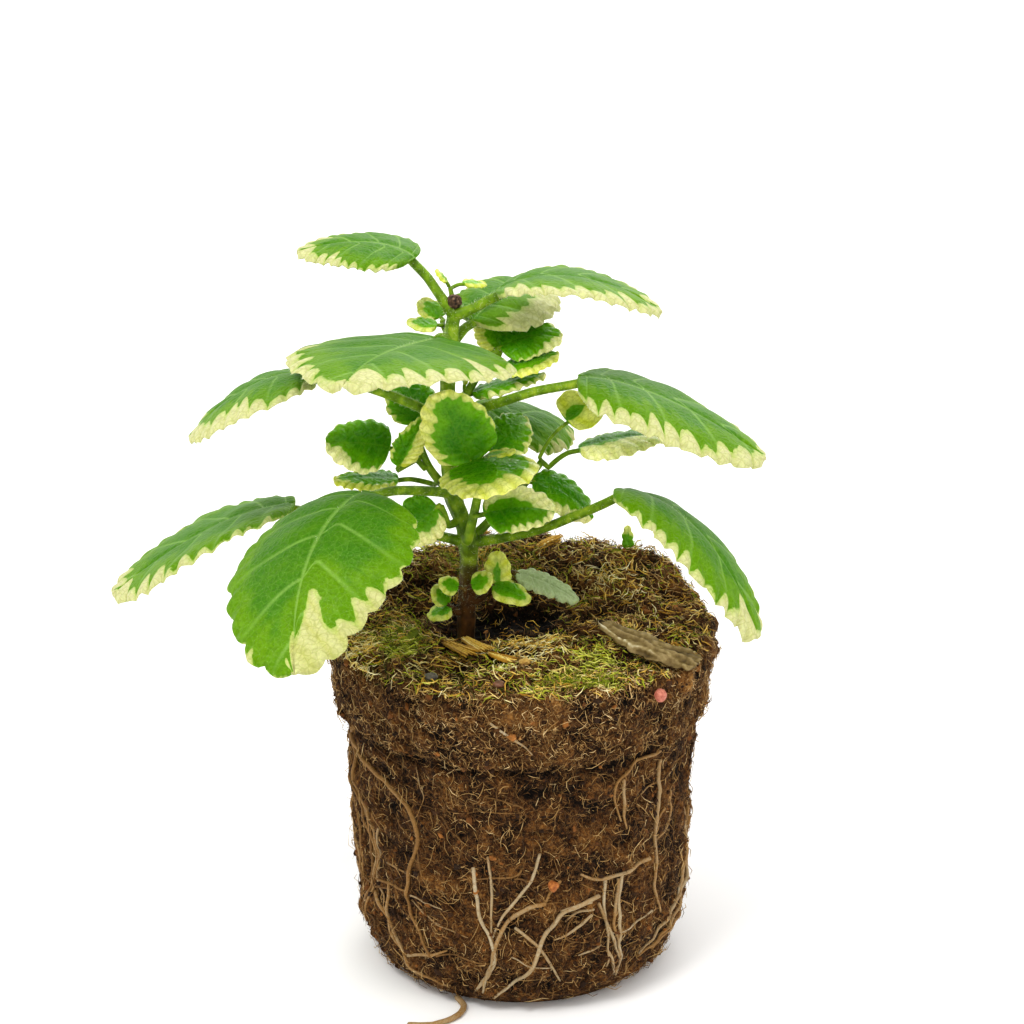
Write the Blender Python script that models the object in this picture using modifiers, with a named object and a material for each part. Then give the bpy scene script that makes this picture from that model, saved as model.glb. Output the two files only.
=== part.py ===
# Candle plant with a bare root ball: a square stem, toothed leaves in crossed pairs, side shoots and roots.
# Metres and degrees, +Z up, the origin at the centre of the root ball's flat underside.
# Azimuth 0 points along +X and the plant's front faces -Y. A root's angle runs from the front to the right.

import math

import bmesh
import bpy
import numpy as np
from mathutils import Vector, noise
from mathutils.bvhtree import BVHTree
from mathutils.geometry import delaunay_2d_cdt

object_name = "candle_plant"
touch_gap = 0.0003
search_step = 0.00005
smooth_angle = 60

# Root ball: its profile from the top down to the foot, then the relief of the top and the wall
ball_top = 0.078
top_rings = (0.0, 0.008, 0.016, 0.024, 0.032, 0.038)
rim_radius = 0.0435
rim_inset = 0.0022
rim_drop = 0.0050
collar_middle = 0.067
collar_height = 0.061
collar_radius = 0.0412
collar_step = 0.0014
wall_levels = (0.054, 0.046, 0.038, 0.030, 0.021)
body_top_radius = 0.0392
body_low_height = 0.012
body_low_radius = 0.0368
foot_height = 0.004
foot_edge_radius = 0.034
foot_radius = 0.029
ball_steps = 36
bank_height = 0.006
bank_start = 0.004
bank_reach = 0.026
hollow_depth = 0.0035
hollow_radius = 0.009
relief_from = 0.064
top_lump = 0.0011
wall_lump = 0.0011
lump_size = 0.011

# Main stem: its route and its radius at each point
stem_route = [
    (-0.0122, 0.000, 0.064), (-0.0121, 0.000, 0.078), (-0.0116, 0.000, 0.0970), (-0.0150, 0.000, 0.1090),
    (-0.0160, 0.000, 0.125), (-0.0152, 0.000, 0.142), (-0.0142, 0.000, 0.1495)]
stem_radii = [0.0019, 0.0019, 0.0018, 0.0017, 0.0016, 0.0015, 0.0013]
stem_nodes = [0.097, 0.1085, 0.125, 0.142]
stem_step = 0.0042
node_swelling = 0.18
node_reach = 0.0022
hole_radius = 0.0024
hole_bottom = 0.0635
hole_depth = 0.03
shoot_step = 0.0030

# Leaf blades
blade_thickness = 0.0007
petiole_radius = 0.00115
midrib_tip_radius = 0.00045
small_petiole_radius = 0.00065
small_midrib_tip_radius = 0.0004
midrib_share = 0.82
toothless_share = 0.2
tooth_depth = 0.028
small_tooth_depth = 0.035
big_teeth = 8
small_teeth = 5
tiny_teeth = 3
rib_bite = 0.00012
small_midrib_share = 0.14
tiny_leaf = 0.0092
big_crowns = (0.28, 0.72)
small_crowns = (0.5,)
big_rows = (0.1, 0.25, 0.42, 0.58, 0.74, 0.88)
small_rows = (0.2, 0.5, 0.8)
tiny_rows = (0.5,)
big_columns = (-0.52, 0.0, 0.52)
small_columns = (0.0,)

# Big leaves: the height of the stem node that each springs from, its heading, its stalk's length and slope,
# the slope at the blade's base, and how the blade droops, arches across, rolls and swings along its length
big_leaves = {
    "leaf_base_left": dict(
        height=0.097, azimuth=179, petiole=0.0385, rise=14, pitch=12, length=0.0450, width=0.0345,
        droop=50, droop_power=0.35, arch=0, roll=-8, swing=21, ovate=0.1),
    "leaf_base_right": dict(
        height=0.097, azimuth=-8, petiole=0.0365, rise=10, pitch=37, petiole_swing=-8, length=0.0465,
        width=0.0295, droop=101, droop_power=0.35, arch=23, roll=17, swing=-33, ovate=0.45),
    "leaf_front_left": dict(
        height=0.1085, azimuth=-130, petiole=0.0300, rise=18, pitch=12, length=0.0495, width=0.0425,
        droop=58, droop_power=0.35, arch=25, roll=-11, swing=48, ovate=0.38),
    "leaf_back_right": dict(
        height=0.1085, azimuth=50, petiole=0.0185, rise=43, pitch=30, length=0.0285, width=0.0240,
        droop=62, droop_power=0.5, arch=30, roll=-20, swing=20),
    "leaf_side_left": dict(
        height=0.125, azimuth=201, petiole=0.0320, rise=31, pitch=18, petiole_swing=-8, length=0.0310,
        width=0.035, droop=69, droop_power=0.6, arch=14, roll=-10, swing=-2),
    "leaf_side_right": dict(
        height=0.125, azimuth=-9, petiole=0.0305, rise=22, pitch=20, length=0.0440, width=0.0335,
        droop=56, droop_power=0.35, arch=20, roll=1, swing=-2, ovate=0.2),
    "leaf_front": dict(
        height=0.142, azimuth=-119, petiole=0.0070, rise=44, pitch=8, length=0.0455, width=0.049,
        droop=18, droop_power=2.5, arch=13, roll=-1, swing=13, ovate=0.45),
    "leaf_back": dict(
        height=0.142, azimuth=44, petiole=0.0075, rise=32, pitch=32, length=0.0360, width=0.023,
        droop=57, droop_power=0.75, arch=30, roll=-8, swing=55),
    "leaf_top_left": dict(
        height=0.1485, azimuth=163, petiole=0.0145, rise=52, pitch=56, length=0.0260, width=0.025,
        droop=73, droop_power=0.35, arch=15, roll=2, swing=25),
    "leaf_top_right": dict(
        height=0.1485, azimuth=-6, petiole=0.0110, rise=18, pitch=43, length=0.0370, width=0.026,
        droop=78, droop_power=0.6, arch=3, roll=4, swing=0)}

# Side shoots: the route of each stem from the main stem outwards, and its leaves, each from a point near it
shoots = {
    "shoot_front": dict(
        route=[(-0.0116, -0.0038, 0.0990), (-0.0103, -0.0054, 0.1050), (-0.0092, -0.0058, 0.1110),
               (-0.0086, -0.0058, 0.1175)],
        radius=0.0011,
        leaves=[
            dict(at=(-0.0072, -0.0060, 0.1185), azimuth=-85, petiole=0.0015, rise=21, pitch=5,
                 length=0.0175, width=0.0215, droop=30, arch=13, roll=-10, swing=-31),
            dict(at=(-0.0096, -0.0070, 0.1160), azimuth=180, petiole=0.0020, rise=62, pitch=63,
                 length=0.0170, width=0.0160, droop=-5, arch=12, roll=100, swing=0),
            dict(at=(-0.0070, -0.0045, 0.1175), azimuth=50, petiole=0.0020, rise=31, pitch=34,
                 length=0.0140, width=0.0105, droop=29, arch=15, roll=-29, swing=21),
            dict(at=(-0.0086, -0.0058, 0.1180), azimuth=-15, petiole=0.0010, rise=40, pitch=25,
                 length=0.0070, width=0.0055, droop=20, arch=20, roll=-10, swing=0),
            dict(at=(-0.0100, -0.0065, 0.1055), azimuth=6, petiole=0.0020, rise=-1, pitch=19,
                 length=0.0155, width=0.0125, droop=37, arch=5, roll=-33, swing=-6)]),
    "shoot_right": dict(
        route=[(-0.0094, 0.0010, 0.0990), (-0.0040, 0.0022, 0.1045), (0.0010, 0.0038, 0.1095),
               (0.0045, 0.0062, 0.1135)],
        radius=0.0010,
        leaves=[
            dict(at=(0.0005, 0.0030, 0.1100), azimuth=-6, petiole=0.0020, rise=8, pitch=-4, length=0.0160,
                 width=0.0120, droop=59, arch=21, roll=-25, swing=2),
            dict(at=(0.0040, 0.0060, 0.1145), azimuth=16, petiole=0.0100, rise=63, pitch=40,
                 length=0.0085, width=0.0130, droop=18, arch=-11, roll=-19, swing=23),
            dict(at=(0.0060, 0.0065, 0.1120), azimuth=-1, petiole=0.0080, rise=47, pitch=22,
                 length=0.0190, width=0.0140, droop=26, arch=25, roll=-4, swing=-3)]),
    "shoot_left": dict(
        route=[(-0.0172, 0.0016, 0.1100), (-0.0200, 0.0024, 0.1135), (-0.0220, 0.0026, 0.1185)],
        radius=0.0010,
        leaves=[
            dict(at=(-0.0210, 0.0034, 0.1200), azimuth=115, petiole=0.0030, rise=60, pitch=55,
                 length=0.0135, width=0.0125, droop=28, arch=14, roll=3, swing=10),
            dict(at=(-0.0268, -0.0012, 0.1140), azimuth=-12, petiole=0.0010, rise=60, pitch=69,
                 length=0.0125, width=0.0065, droop=14, arch=16, roll=61, swing=-4),
            dict(at=(-0.0210, 0.0015, 0.1135), azimuth=174, petiole=0.0090, rise=53, pitch=10,
                 length=0.0140, width=0.0135, droop=15, arch=17, roll=42, swing=4),
            dict(at=(-0.0190, 0.0040, 0.1090), azimuth=186, petiole=0.0080, rise=19, pitch=6,
                 length=0.0140, width=0.0095, droop=12, arch=14, roll=8, swing=1)]),
    "shoot_low_left": dict(
        route=[(-0.0158, -0.0024, 0.1020), (-0.0166, -0.0032, 0.1045), (-0.0173, -0.0036, 0.1066)],
        radius=0.0009,
        leaves=[
            dict(at=(-0.0174, -0.0036, 0.1068), azimuth=178, petiole=0.0008, rise=-20, pitch=-38,
                 length=0.0115, width=0.0110, droop=20, arch=13, roll=80, swing=0)]),
    "shoot_upper_right": dict(
        route=[(-0.0140, 0.0018, 0.1275), (-0.0110, 0.0040, 0.1310), (-0.0078, 0.0052, 0.1365),
               (-0.0050, 0.0055, 0.1390)],
        radius=0.0010,
        leaves=[
            dict(at=(-0.0045, 0.0055, 0.1380), azimuth=109, petiole=0.0010, rise=60, pitch=47,
                 length=0.0110, width=0.0080, droop=38, arch=32, roll=21, swing=20),
            dict(at=(-0.0055, 0.0055, 0.1390), azimuth=9, petiole=0.0010, rise=20, pitch=34,
                 length=0.0140, width=0.0120, droop=52, arch=13, roll=-27, swing=-9),
            dict(at=(-0.0045, 0.0035, 0.1360), azimuth=-13, petiole=0.0010, rise=10, pitch=17,
                 length=0.0120, width=0.0100, droop=6, arch=24, roll=-11, swing=6),
            dict(at=(-0.0125, 0.0040, 0.1290), azimuth=3, petiole=0.0020, rise=20, pitch=25,
                 length=0.0165, width=0.0100, droop=22, arch=21, roll=0, swing=-4),
            dict(at=(-0.0123, 0.0030, 0.1310), azimuth=80, petiole=0.0010, rise=85, pitch=85,
                 length=0.0075, width=0.0045, droop=5, arch=15, roll=70, swing=0)]),
    "shoot_upper_left": dict(
        route=[(-0.0158, 0.0021, 0.1435), (-0.0166, 0.0026, 0.1450), (-0.0170, 0.0024, 0.1465)],
        radius=0.0007,
        leaves=[
            dict(at=(-0.0168, 0.0010, 0.1458), azimuth=184, petiole=0.0012, rise=10, pitch=11,
                 length=0.0065, width=0.0055, droop=12, arch=18, roll=17, swing=1),
            dict(at=(-0.0166, 0.0038, 0.1462), azimuth=140, petiole=0.0010, rise=30, pitch=35,
                 length=0.0065, width=0.0065, droop=20, arch=16, roll=15, swing=-1)]),
    "shoot_foot_front": dict(
        route=[(-0.0122, -0.0024, 0.0850), (-0.0122, -0.0040, 0.0865), (-0.0122, -0.0045, 0.0880)],
        radius=0.0007,
        leaves=[
            dict(at=(-0.0127, -0.0046, 0.0879), azimuth=-177, petiole=0.0010, rise=21, pitch=21,
                 length=0.0045, width=0.0050, droop=16, arch=18, roll=37, swing=0),
            dict(at=(-0.0117, -0.0043, 0.0882), azimuth=-7, petiole=0.0010, rise=21, pitch=27,
                 length=0.0050, width=0.0060, droop=7, arch=17, roll=-39, swing=0)]),
    "shoot_foot_left": dict(
        route=[(-0.0142, -0.0014, 0.0810), (-0.0150, -0.0020, 0.0820), (-0.0152, -0.0020, 0.0830)],
        radius=0.0007,
        leaves=[
            dict(at=(-0.0155, -0.0020, 0.0825), azimuth=167, petiole=0.0010, rise=51, pitch=56,
                 length=0.0050, width=0.0050, droop=16, arch=20, roll=34, swing=3),
            dict(at=(-0.0145, -0.0020, 0.0825), azimuth=-159, petiole=0.0010, rise=11, pitch=-4,
                 length=0.0055, width=0.0060, droop=31, arch=18, roll=14, swing=-9)]),
    "shoot_foot_right": dict(
        route=[(-0.0098, -0.0010, 0.0835), (-0.0076, -0.0016, 0.0855), (-0.0060, -0.0016, 0.0870)],
        radius=0.0007,
        leaves=[
            dict(at=(-0.0050, -0.0015, 0.0865), azimuth=93, petiole=0.0010, rise=70, pitch=68,
                 length=0.0075, width=0.0060, droop=11, arch=21, roll=1, swing=4),
            dict(at=(-0.0070, -0.0015, 0.0875), azimuth=-23, petiole=0.0010, rise=11, pitch=0,
                 length=0.0090, width=0.0070, droop=38, arch=18, roll=-21, swing=6)]),
    "leaf_old": dict(
        route=[(-0.0097, 0.0014, 0.0855), (-0.0060, 0.0028, 0.0880), (-0.0020, 0.0026, 0.0890)],
        radius=0.0006,
        leaves=[
            dict(at=(-0.0020, 0.0026, 0.0890), azimuth=-12, petiole=0.0010, rise=0, pitch=-10,
                 length=0.0150, width=0.0070, droop=22, arch=20, roll=35, swing=-5)]),
    "tip_leaves": dict(
        route=[(-0.0148, 0.0022, 0.1520), (-0.0152, 0.0026, 0.1538)],
        radius=0.0006,
        leaves=[
            dict(at=(-0.0154, 0.0026, 0.1540), azimuth=175, petiole=0.0010, rise=70, pitch=60,
                 length=0.0036, width=0.0035, droop=30, arch=30, roll=0, swing=0),
            dict(at=(-0.0150, 0.0028, 0.1535), azimuth=25, petiole=0.0030, rise=25, pitch=5,
                 length=0.0055, width=0.0040, droop=30, arch=20, roll=-10, swing=0)])}

# Roots on the wall: each spray's routes as a radius and points of angle from the front and height
root_sprays = {
    "roots_left": [
        (0.00090, [(-78, 0.055), (-54, 0.052), (-39, 0.047), (-36, 0.041), (-39, 0.034), (-41, 0.027),
                   (-42, 0.023), (-37, 0.016), (-33, 0.012)]),
        (0.00070, [(-74, 0.047), (-70, 0.041), (-62, 0.037), (-62, 0.025), (-71, 0.015)]),
        (0.00060, [(-62, 0.025), (-52, 0.026), (-41, 0.027)]),
        (0.00070, [(-52, 0.026), (-53, 0.015), (-48, 0.010), (-42, 0.006), (-27, 0.005)])],
    "roots_centre": [
        (0.00070, [(-16, 0.036), (-14, 0.025), (-10, 0.019), (-9, 0.013), (-16, 0.006)]),
        (0.00055, [(-11, 0.039), (-10, 0.032), (-10, 0.019)]),
        (0.00060, [(6, 0.040), (3, 0.033), (-6, 0.025), (-10, 0.019)])],
    "roots_front": [
        (0.00085, [(27, 0.028), (15, 0.026), (11, 0.023), (7, 0.019), (4, 0.013), (-2, 0.008), (-10, 0.004)]),
        (0.00060, [(-2, 0.022), (5, 0.018), (10, 0.013), (14, 0.008)])],
    "roots_right": [
        (0.00075, [(46, 0.034), (40, 0.033), (34, 0.032), (26, 0.032), (20, 0.034)]),
        (0.00060, [(29, 0.032), (29, 0.026), (31, 0.018), (31, 0.010)]),
        (0.00065, [(35, 0.032), (35, 0.020), (37, 0.011), (37, 0.006)])],
    "roots_right_side": [
        (0.00080, [(51, 0.056), (52, 0.048), (50, 0.041), (51, 0.033), (51, 0.025), (56, 0.018)]),
        (0.00060, [(58, 0.047), (60, 0.040), (50, 0.036)])],
    "root_upper_right": [
        (0.00060, [(50, 0.0585), (44, 0.0580), (39, 0.0575), (31, 0.054), (34, 0.045)])],
    "root_low_right": [
        (0.00080, [(84, 0.036), (76, 0.026), (70, 0.015), (58, 0.011), (48, 0.008)])],
    "root_collar": [
        (0.00045, [(-9, 0.0735), (-3, 0.070), (3, 0.065)])]}

# Roots round the sides and the back: seeded walks down the wall
hidden_sprays = 6
hidden_first_angle = 106
hidden_last_angle = 258
hidden_top = 0.054
hidden_low = 0.006
hidden_radius = 0.0008
hidden_wander = 4.2
hidden_fork = 7
hidden_seed = 4

# Tail root that leaves the ball's foot and lies along the surface below
tail_route = [(-0.0140, -0.0284, 0.0010), (-0.0125, -0.0325, 0.0008), (-0.0145, -0.0370, 0.0007),
              (-0.0190, -0.0400, 0.0007), (-0.0245, -0.0400, 0.0007)]
tail_radius = 0.0007
root_step = 0.0034
root_margin = 0.0002

# Loose things: where they lie across and along the top, or their angle and height on the wall, and their size.
# Those on the top start at the same height and are lowered onto the soil.
loose_height = 0.095
dead_leaf = dict(
    at=(0.0165, -0.0125, 0.0850), azimuth=-38, petiole=0.0005, rise=-4, pitch=-4, length=0.0250,
    width=0.0100, droop=8, arch=35, roll=-22, swing=8)
seedling = dict(
    at=(0.0245, 0.0290, 0.0880), azimuth=95, petiole=0.0015, rise=84, pitch=80, length=0.0055,
    width=0.0034, droop=15, arch=25, roll=0, swing=0)
straw_chips = [
    dict(centre=(-0.0135, -0.0175), size=(0.0135, 0.0016, 0.0007), azimuth=-58, slope=6),
    dict(centre=(-0.0099, -0.0148), size=(0.0110, 0.0012, 0.0006), azimuth=-60, slope=4),
    dict(centre=(-0.0043, -0.0221), size=(0.0090, 0.0011, 0.0006), azimuth=-48, slope=5)]
straw_stick = dict(centre=(0.0065, 0.0330), size=(0.0070, 0.0015, 0.0013), azimuth=35, slope=10)
pebbles = {
    "pebble_grey": dict(centre=(-0.0190, -0.0330), size=(0.0034, 0.0026, 0.0018)),
    "pebble_brown": dict(centre=(-0.0047, -0.0375), size=(0.0030, 0.0024, 0.0018)),
    "lump_tan": dict(centre=(0.0006, -0.0262), size=(0.0028, 0.0024, 0.0020))}
wall_grains = {
    "prill": dict(angle=41, height=0.0750, radius=0.0015),
    "granule": dict(angle=10, height=0.0330, radius=0.0014)}
moss_patches = {
    "moss_left": dict(centre=(-0.0275, -0.0080), radii=(0.0100, 0.0150), thickness=0.0012),
    "moss_front": dict(centre=(0.0120, -0.0325), radii=(0.0110, 0.0055), thickness=0.0012),
    "moss_back": dict(centre=(-0.0090, 0.0235), radii=(0.0145, 0.0080), thickness=0.0012)}
moss_lift = 0.0006
scar_radius = 0.0016
scar_centre = (-0.0142, 0.0, 0.1514)

# Materials: colour and roughness
finishes = {
    "leaf": ((0.13, 0.32, 0.035), 0.55),
    "young_leaf": ((0.28, 0.45, 0.06), 0.55),
    "old_leaf": ((0.30, 0.40, 0.28), 0.7),
    "stem": ((0.22, 0.22, 0.045), 0.6),
    "scar": ((0.06, 0.035, 0.022), 0.9),
    "soil": ((0.065, 0.038, 0.02), 0.95),
    "moss": ((0.16, 0.15, 0.045), 0.95),
    "root": ((0.42, 0.30, 0.19), 0.8),
    "straw": ((0.55, 0.42, 0.17), 0.8),
    "dead_leaf": ((0.30, 0.22, 0.13), 0.85),
    "stone": ((0.20, 0.18, 0.17), 0.7),
    "prill": ((0.55, 0.16, 0.13), 0.6),
    "granule": ((0.50, 0.26, 0.06), 0.5)}


def smooth(t):
    t = np.clip(t, 0.0, 1.0)
    return t * t * (3.0 - 2.0 * t)


def heading(azimuth, pitch):
    a = np.radians(azimuth)
    p = np.radians(pitch)
    return np.stack([np.cos(a) * np.cos(p), np.sin(a) * np.cos(p), np.sin(p)], axis=-1)


def smooth_route(points, step):
    # A Catmull-Rom curve through the points, read about every step
    points = np.array(points, float)
    ends = np.vstack([2 * points[0] - points[1], points, 2 * points[-1] - points[-2]])
    route = [points[0]]
    for i in range(1, len(ends) - 2):
        a, b, c, d = ends[i - 1:i + 3]
        count = max(1, int(round(np.linalg.norm(c - b) / step)))
        for k in range(1, count + 1):
            t = k / count
            bend = (b - a + c - b) / 2
            leave = (c - b + d - c) / 2
            route.append((2 * t ** 3 - 3 * t ** 2 + 1) * b + (t ** 3 - 2 * t ** 2 + t) * bend
                         + (3 * t ** 2 - 2 * t ** 3) * c + (t ** 3 - t ** 2) * leave)
    return np.array(route)


# Leaf geometry: distances run along the stalk and then along the midrib

def leaf_angles(leaf, distance):
    in_stalk = smooth(distance / leaf["petiole"])
    in_blade = np.clip((distance - leaf["petiole"]) / leaf["length"], 0.0, 1.0)
    azimuth = leaf["azimuth"] + leaf.get("petiole_swing", 0) * in_stalk + leaf["swing"] * in_blade
    pitch = leaf["rise"] + (leaf["pitch"] - leaf["rise"]) * in_stalk
    return azimuth, pitch - leaf["droop"] * in_blade ** leaf.get("droop_power", 1.0)


def leaf_midline(leaf, steps=60):
    distances = np.linspace(0.0, leaf["petiole"] + leaf["length"], steps + 1)
    middles = (distances[1:] + distances[:-1]) / 2
    moves = heading(*leaf_angles(leaf, middles)) * (distances[1] - distances[0])
    points = np.vstack([np.zeros(3), np.cumsum(moves, axis=0)]) + np.array(leaf["at"])
    return distances, points


def midline_point(leaf, distance):
    distances, points = leaf_midline(leaf)
    return np.stack([np.interp(distance, distances, points[:, k]) for k in range(3)], axis=-1)


def blade_frame(leaf, y):
    # The midrib's point, direction, sideways direction and normal at y along the blade
    azimuth, pitch = leaf_angles(leaf, leaf["petiole"] + np.maximum(y, 0.0))
    along = heading(azimuth, pitch)
    start = midline_point(leaf, leaf["petiole"])
    behind = np.minimum(y, 0.0)[:, None]
    origin = np.where(behind < 0, start + along * behind, midline_point(leaf, leaf["petiole"] + y))
    past = np.maximum(y - leaf["length"], 0.0)[:, None]
    origin = origin + along * past
    a = np.radians(azimuth)
    side = np.stack([np.sin(a), -np.cos(a), np.zeros_like(a)], axis=-1)
    normal = np.cross(side, along)
    roll = math.radians(leaf["roll"])
    across = side * math.cos(roll) + normal * math.sin(roll)
    upward = normal * math.cos(roll) - side * math.sin(roll)
    return origin, along, across, upward


def bend_leaf(leaf, x, y):
    # Takes flat points, x across and y along, onto the arched and drooping blade
    origin, _, side, normal = blade_frame(leaf, y)
    half = leaf["width"] / 2
    share = np.abs(x) / half
    slices = 12
    out = np.zeros_like(share)
    down = np.zeros_like(share)
    for i in range(slices):
        angle = math.radians(leaf["arch"]) * share * (i + 0.5) / slices
        out += np.cos(angle) * share * half / slices
        down += np.sin(angle) * share * half / slices
    return origin + side * (np.sign(x) * out)[:, None] - normal * down[:, None]


def half_outline(leaf, teeth, depth, crown_points):
    # One side of the blade from its base to its tip, with rounded teeth after a plain base
    turn = np.linspace(0.0, math.pi, 240)
    ovate = leaf.get("ovate", 0.22)
    wide = np.sin(turn) ** 0.8 * (1 + ovate * np.cos(turn))
    x = leaf["width"] / 2 * wide / wide.max()
    y = leaf["length"] * (1 - np.cos(turn)) / 2
    arc = np.concatenate([[0.0], np.cumsum(np.hypot(np.diff(x), np.diff(y)))])
    arc /= arc[-1]
    out_x = np.gradient(y, arc)
    out_y = -np.gradient(x, arc)
    length = np.hypot(out_x, out_y)
    spots = [(toothless_share * k / 4, 0.0) for k in range(1, 4)]
    tooth_share = (1 - toothless_share) / teeth
    for k in range(teeth):
        start = toothless_share + tooth_share * k
        spots.append((start, -0.5 if k else 0.0))
        spots += [(start + tooth_share * c, 0.5) for c in crown_points]
    points = []
    for spot, offset in spots:
        push = offset * depth * leaf["length"] / np.interp(spot, arc, length)
        points.append((np.interp(spot, arc, x) + push * np.interp(spot, arc, out_x),
                       np.interp(spot, arc, y) + push * np.interp(spot, arc, out_y)))
    return points


# Blender helpers

def clear_scene():
    for thing in list(bpy.data.objects):
        bpy.data.objects.remove(thing, do_unlink=True)


def new_collection(name):
    collection = bpy.data.collections.new(name)
    bpy.context.scene.collection.children.link(collection)
    return collection


def finish_material(name):
    material = bpy.data.materials.get(name)
    if material:
        return material
    colour, roughness = finishes[name]
    material = bpy.data.materials.new(name)
    material.use_nodes = True
    shader = material.node_tree.nodes["Principled BSDF"]
    shader.inputs["Base Color"].default_value = (*colour, 1.0)
    shader.inputs["Roughness"].default_value = roughness
    return material


def add_object(name, mesh, collection):
    thing = bpy.data.objects.new(name, mesh)
    collection.objects.link(thing)
    return thing


def evaluated_mesh(thing):
    graph = bpy.context.evaluated_depsgraph_get()
    graph.update()
    mesh = bpy.data.meshes.new_from_object(thing.evaluated_get(graph))
    shape = bmesh.new()
    shape.from_mesh(mesh)
    bmesh.ops.remove_doubles(shape, verts=shape.verts, dist=0.000002)
    bmesh.ops.dissolve_degenerate(shape, edges=shape.edges, dist=0.000001)
    bmesh.ops.triangulate(shape, faces=shape.faces)
    shape.to_mesh(mesh)
    shape.free()
    return mesh


def set_mesh(thing, mesh):
    thing.modifiers.clear()
    thing.data = mesh


def give_finish(thing, finish):
    thing.data.materials.clear()
    thing.data.materials.append(finish_material(finish))
    thing.data.shade_smooth()
    thing.data.set_sharp_from_angle(angle=math.radians(smooth_angle))


def tube(name, points, radii, collection, resolution=1):
    curve = bpy.data.curves.new(name, "CURVE")
    curve.dimensions = "3D"
    curve.bevel_depth = max(radii)
    curve.bevel_resolution = resolution
    curve.use_fill_caps = True
    curve.render_resolution_u = 0
    spline = curve.splines.new("POLY")
    spline.points.add(len(points) - 1)
    for point, place, radius in zip(spline.points, points, radii):
        point.co = (*place, 1.0)
        point.radius = radius / max(radii)
    guide = bpy.data.objects.new(name + "_curve", curve)
    collection.objects.link(guide)
    mesh = evaluated_mesh(guide)
    thing = bpy.data.objects.new(name, mesh)
    thing.matrix_world = guide.matrix_world
    collection.objects.link(thing)
    bpy.data.objects.remove(guide, do_unlink=True)
    return thing


def join(pieces, name):
    # One Boolean union of a collection of pieces, applied
    body = pieces[0]
    body.name = name
    if len(pieces) > 1:
        others = new_collection(name + "_union")
        for piece in pieces[1:]:
            parts.objects.unlink(piece)
            others.objects.link(piece)
        union = body.modifiers.new("Union", "BOOLEAN")
        union.operation = "UNION"
        union.operand_type = "COLLECTION"
        union.collection = others
        set_mesh(body, evaluated_mesh(body))
        for piece in list(others.objects):
            bpy.data.objects.remove(piece, do_unlink=True)
        bpy.data.collections.remove(others)
    return body


# Pieces

def make_blade(leaf, name, big):
    if big:
        side_points = half_outline(leaf, big_teeth, tooth_depth, big_crowns)
        rows = big_rows
    elif leaf["length"] < tiny_leaf:
        side_points = half_outline(leaf, tiny_teeth, small_tooth_depth, small_crowns)
        rows = tiny_rows
    else:
        side_points = half_outline(leaf, small_teeth, small_tooth_depth, small_crowns)
        rows = small_rows
    length = leaf["length"]
    flat = [(0.0, 0.0)] + side_points + [(0.0, length)]
    flat += [(-x, y) for x, y in reversed(side_points)]
    rim = list(range(len(flat)))
    flat += [(u * leaf["width"] / 2 * math.sin(math.pi * row) ** 0.6, row * length)
             for row in rows for u in (big_columns if big else small_columns)]
    sheet = delaunay_2d_cdt([Vector(point) for point in flat], [], [rim], 1, 1e-7)
    x = np.array([point[0] for point in sheet[0]])
    y = np.array([point[1] for point in sheet[0]])
    mesh = bpy.data.meshes.new(name)
    mesh.from_pydata(bend_leaf(leaf, x, y).tolist(), [], sheet[2])
    blade = add_object(name, mesh, parts)
    shell = blade.modifiers.new("Thickness", "SOLIDIFY")
    shell.thickness = blade_thickness
    shell.offset = 0.0
    set_mesh(blade, evaluated_mesh(blade))
    return blade


def make_stalk(leaf, name, big, first=None, start=0.0):
    # The stalk and the raised rib that it becomes under the blade
    thick = petiole_radius if big else small_petiole_radius
    thin = midrib_tip_radius if big else small_midrib_tip_radius
    stalk = leaf["petiole"]
    reach = leaf["length"] * (midrib_share if big else small_midrib_share)
    bends = max(2, int(round(stalk / 0.007))) if big else 1
    distances = np.concatenate([
        np.linspace(start, stalk, bends, endpoint=False), stalk + np.linspace(0.0, reach, 6 if big else 3)])
    radii = np.interp(distances, [0.0, stalk, stalk + reach], [thick, thick * 0.9, thin])
    _, _, _, normal = blade_frame(leaf, distances - stalk)
    under = smooth((distances - stalk * 0.6) / (stalk * 0.4 + 0.002))
    route = midline_point(leaf, distances) - normal * (np.maximum(radii - rib_bite, 0.0) * under)[:, None]
    if first is not None and np.linalg.norm(route[0] - first) < thick:
        route[0] = first
    elif first is not None:
        route = np.vstack([first, route])
        radii = np.concatenate([[thick], radii])
    return tube(name + "_stalk", route, radii, parts, 1 if big else 0)


def stem_point(height):
    route = np.array(stem_route)
    return np.array([np.interp(height, route[:, 2], route[:, k]) for k in range(3)])


def stem_radius(height):
    plain = np.interp(height, [point[2] for point in stem_route], stem_radii)
    near = max(math.exp(-((height - node) / node_reach) ** 2) for node in stem_nodes)
    return plain * (1 + node_swelling * near)


def clear_of_stem(point, radius, slope):
    # How far a stalk's end lies outside a touch gap to the stem; its upper edge leans back by the slope
    axis = stem_point(point[2])
    level = math.hypot(point[0] - axis[0], point[1] - axis[1])
    return level - stem_radius(point[2]) - touch_gap - radius * math.sin(abs(slope))


def make_stem():
    route = smooth_route(stem_route, stem_step)
    return tube("main_stem", route, [stem_radius(point[2]) for point in route], parts, 2)


def make_big_leaf(name, leaf):
    leaf["at"] = tuple(stem_point(leaf["height"]))
    start = 0.0
    slope = math.radians(leaf["rise"])
    while clear_of_stem(midline_point(leaf, start), petiole_radius, slope) < 0:
        start += search_step
    stalk = make_stalk(leaf, name, True, start=start)
    return join([make_blade(leaf, name, True), stalk], name)


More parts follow.
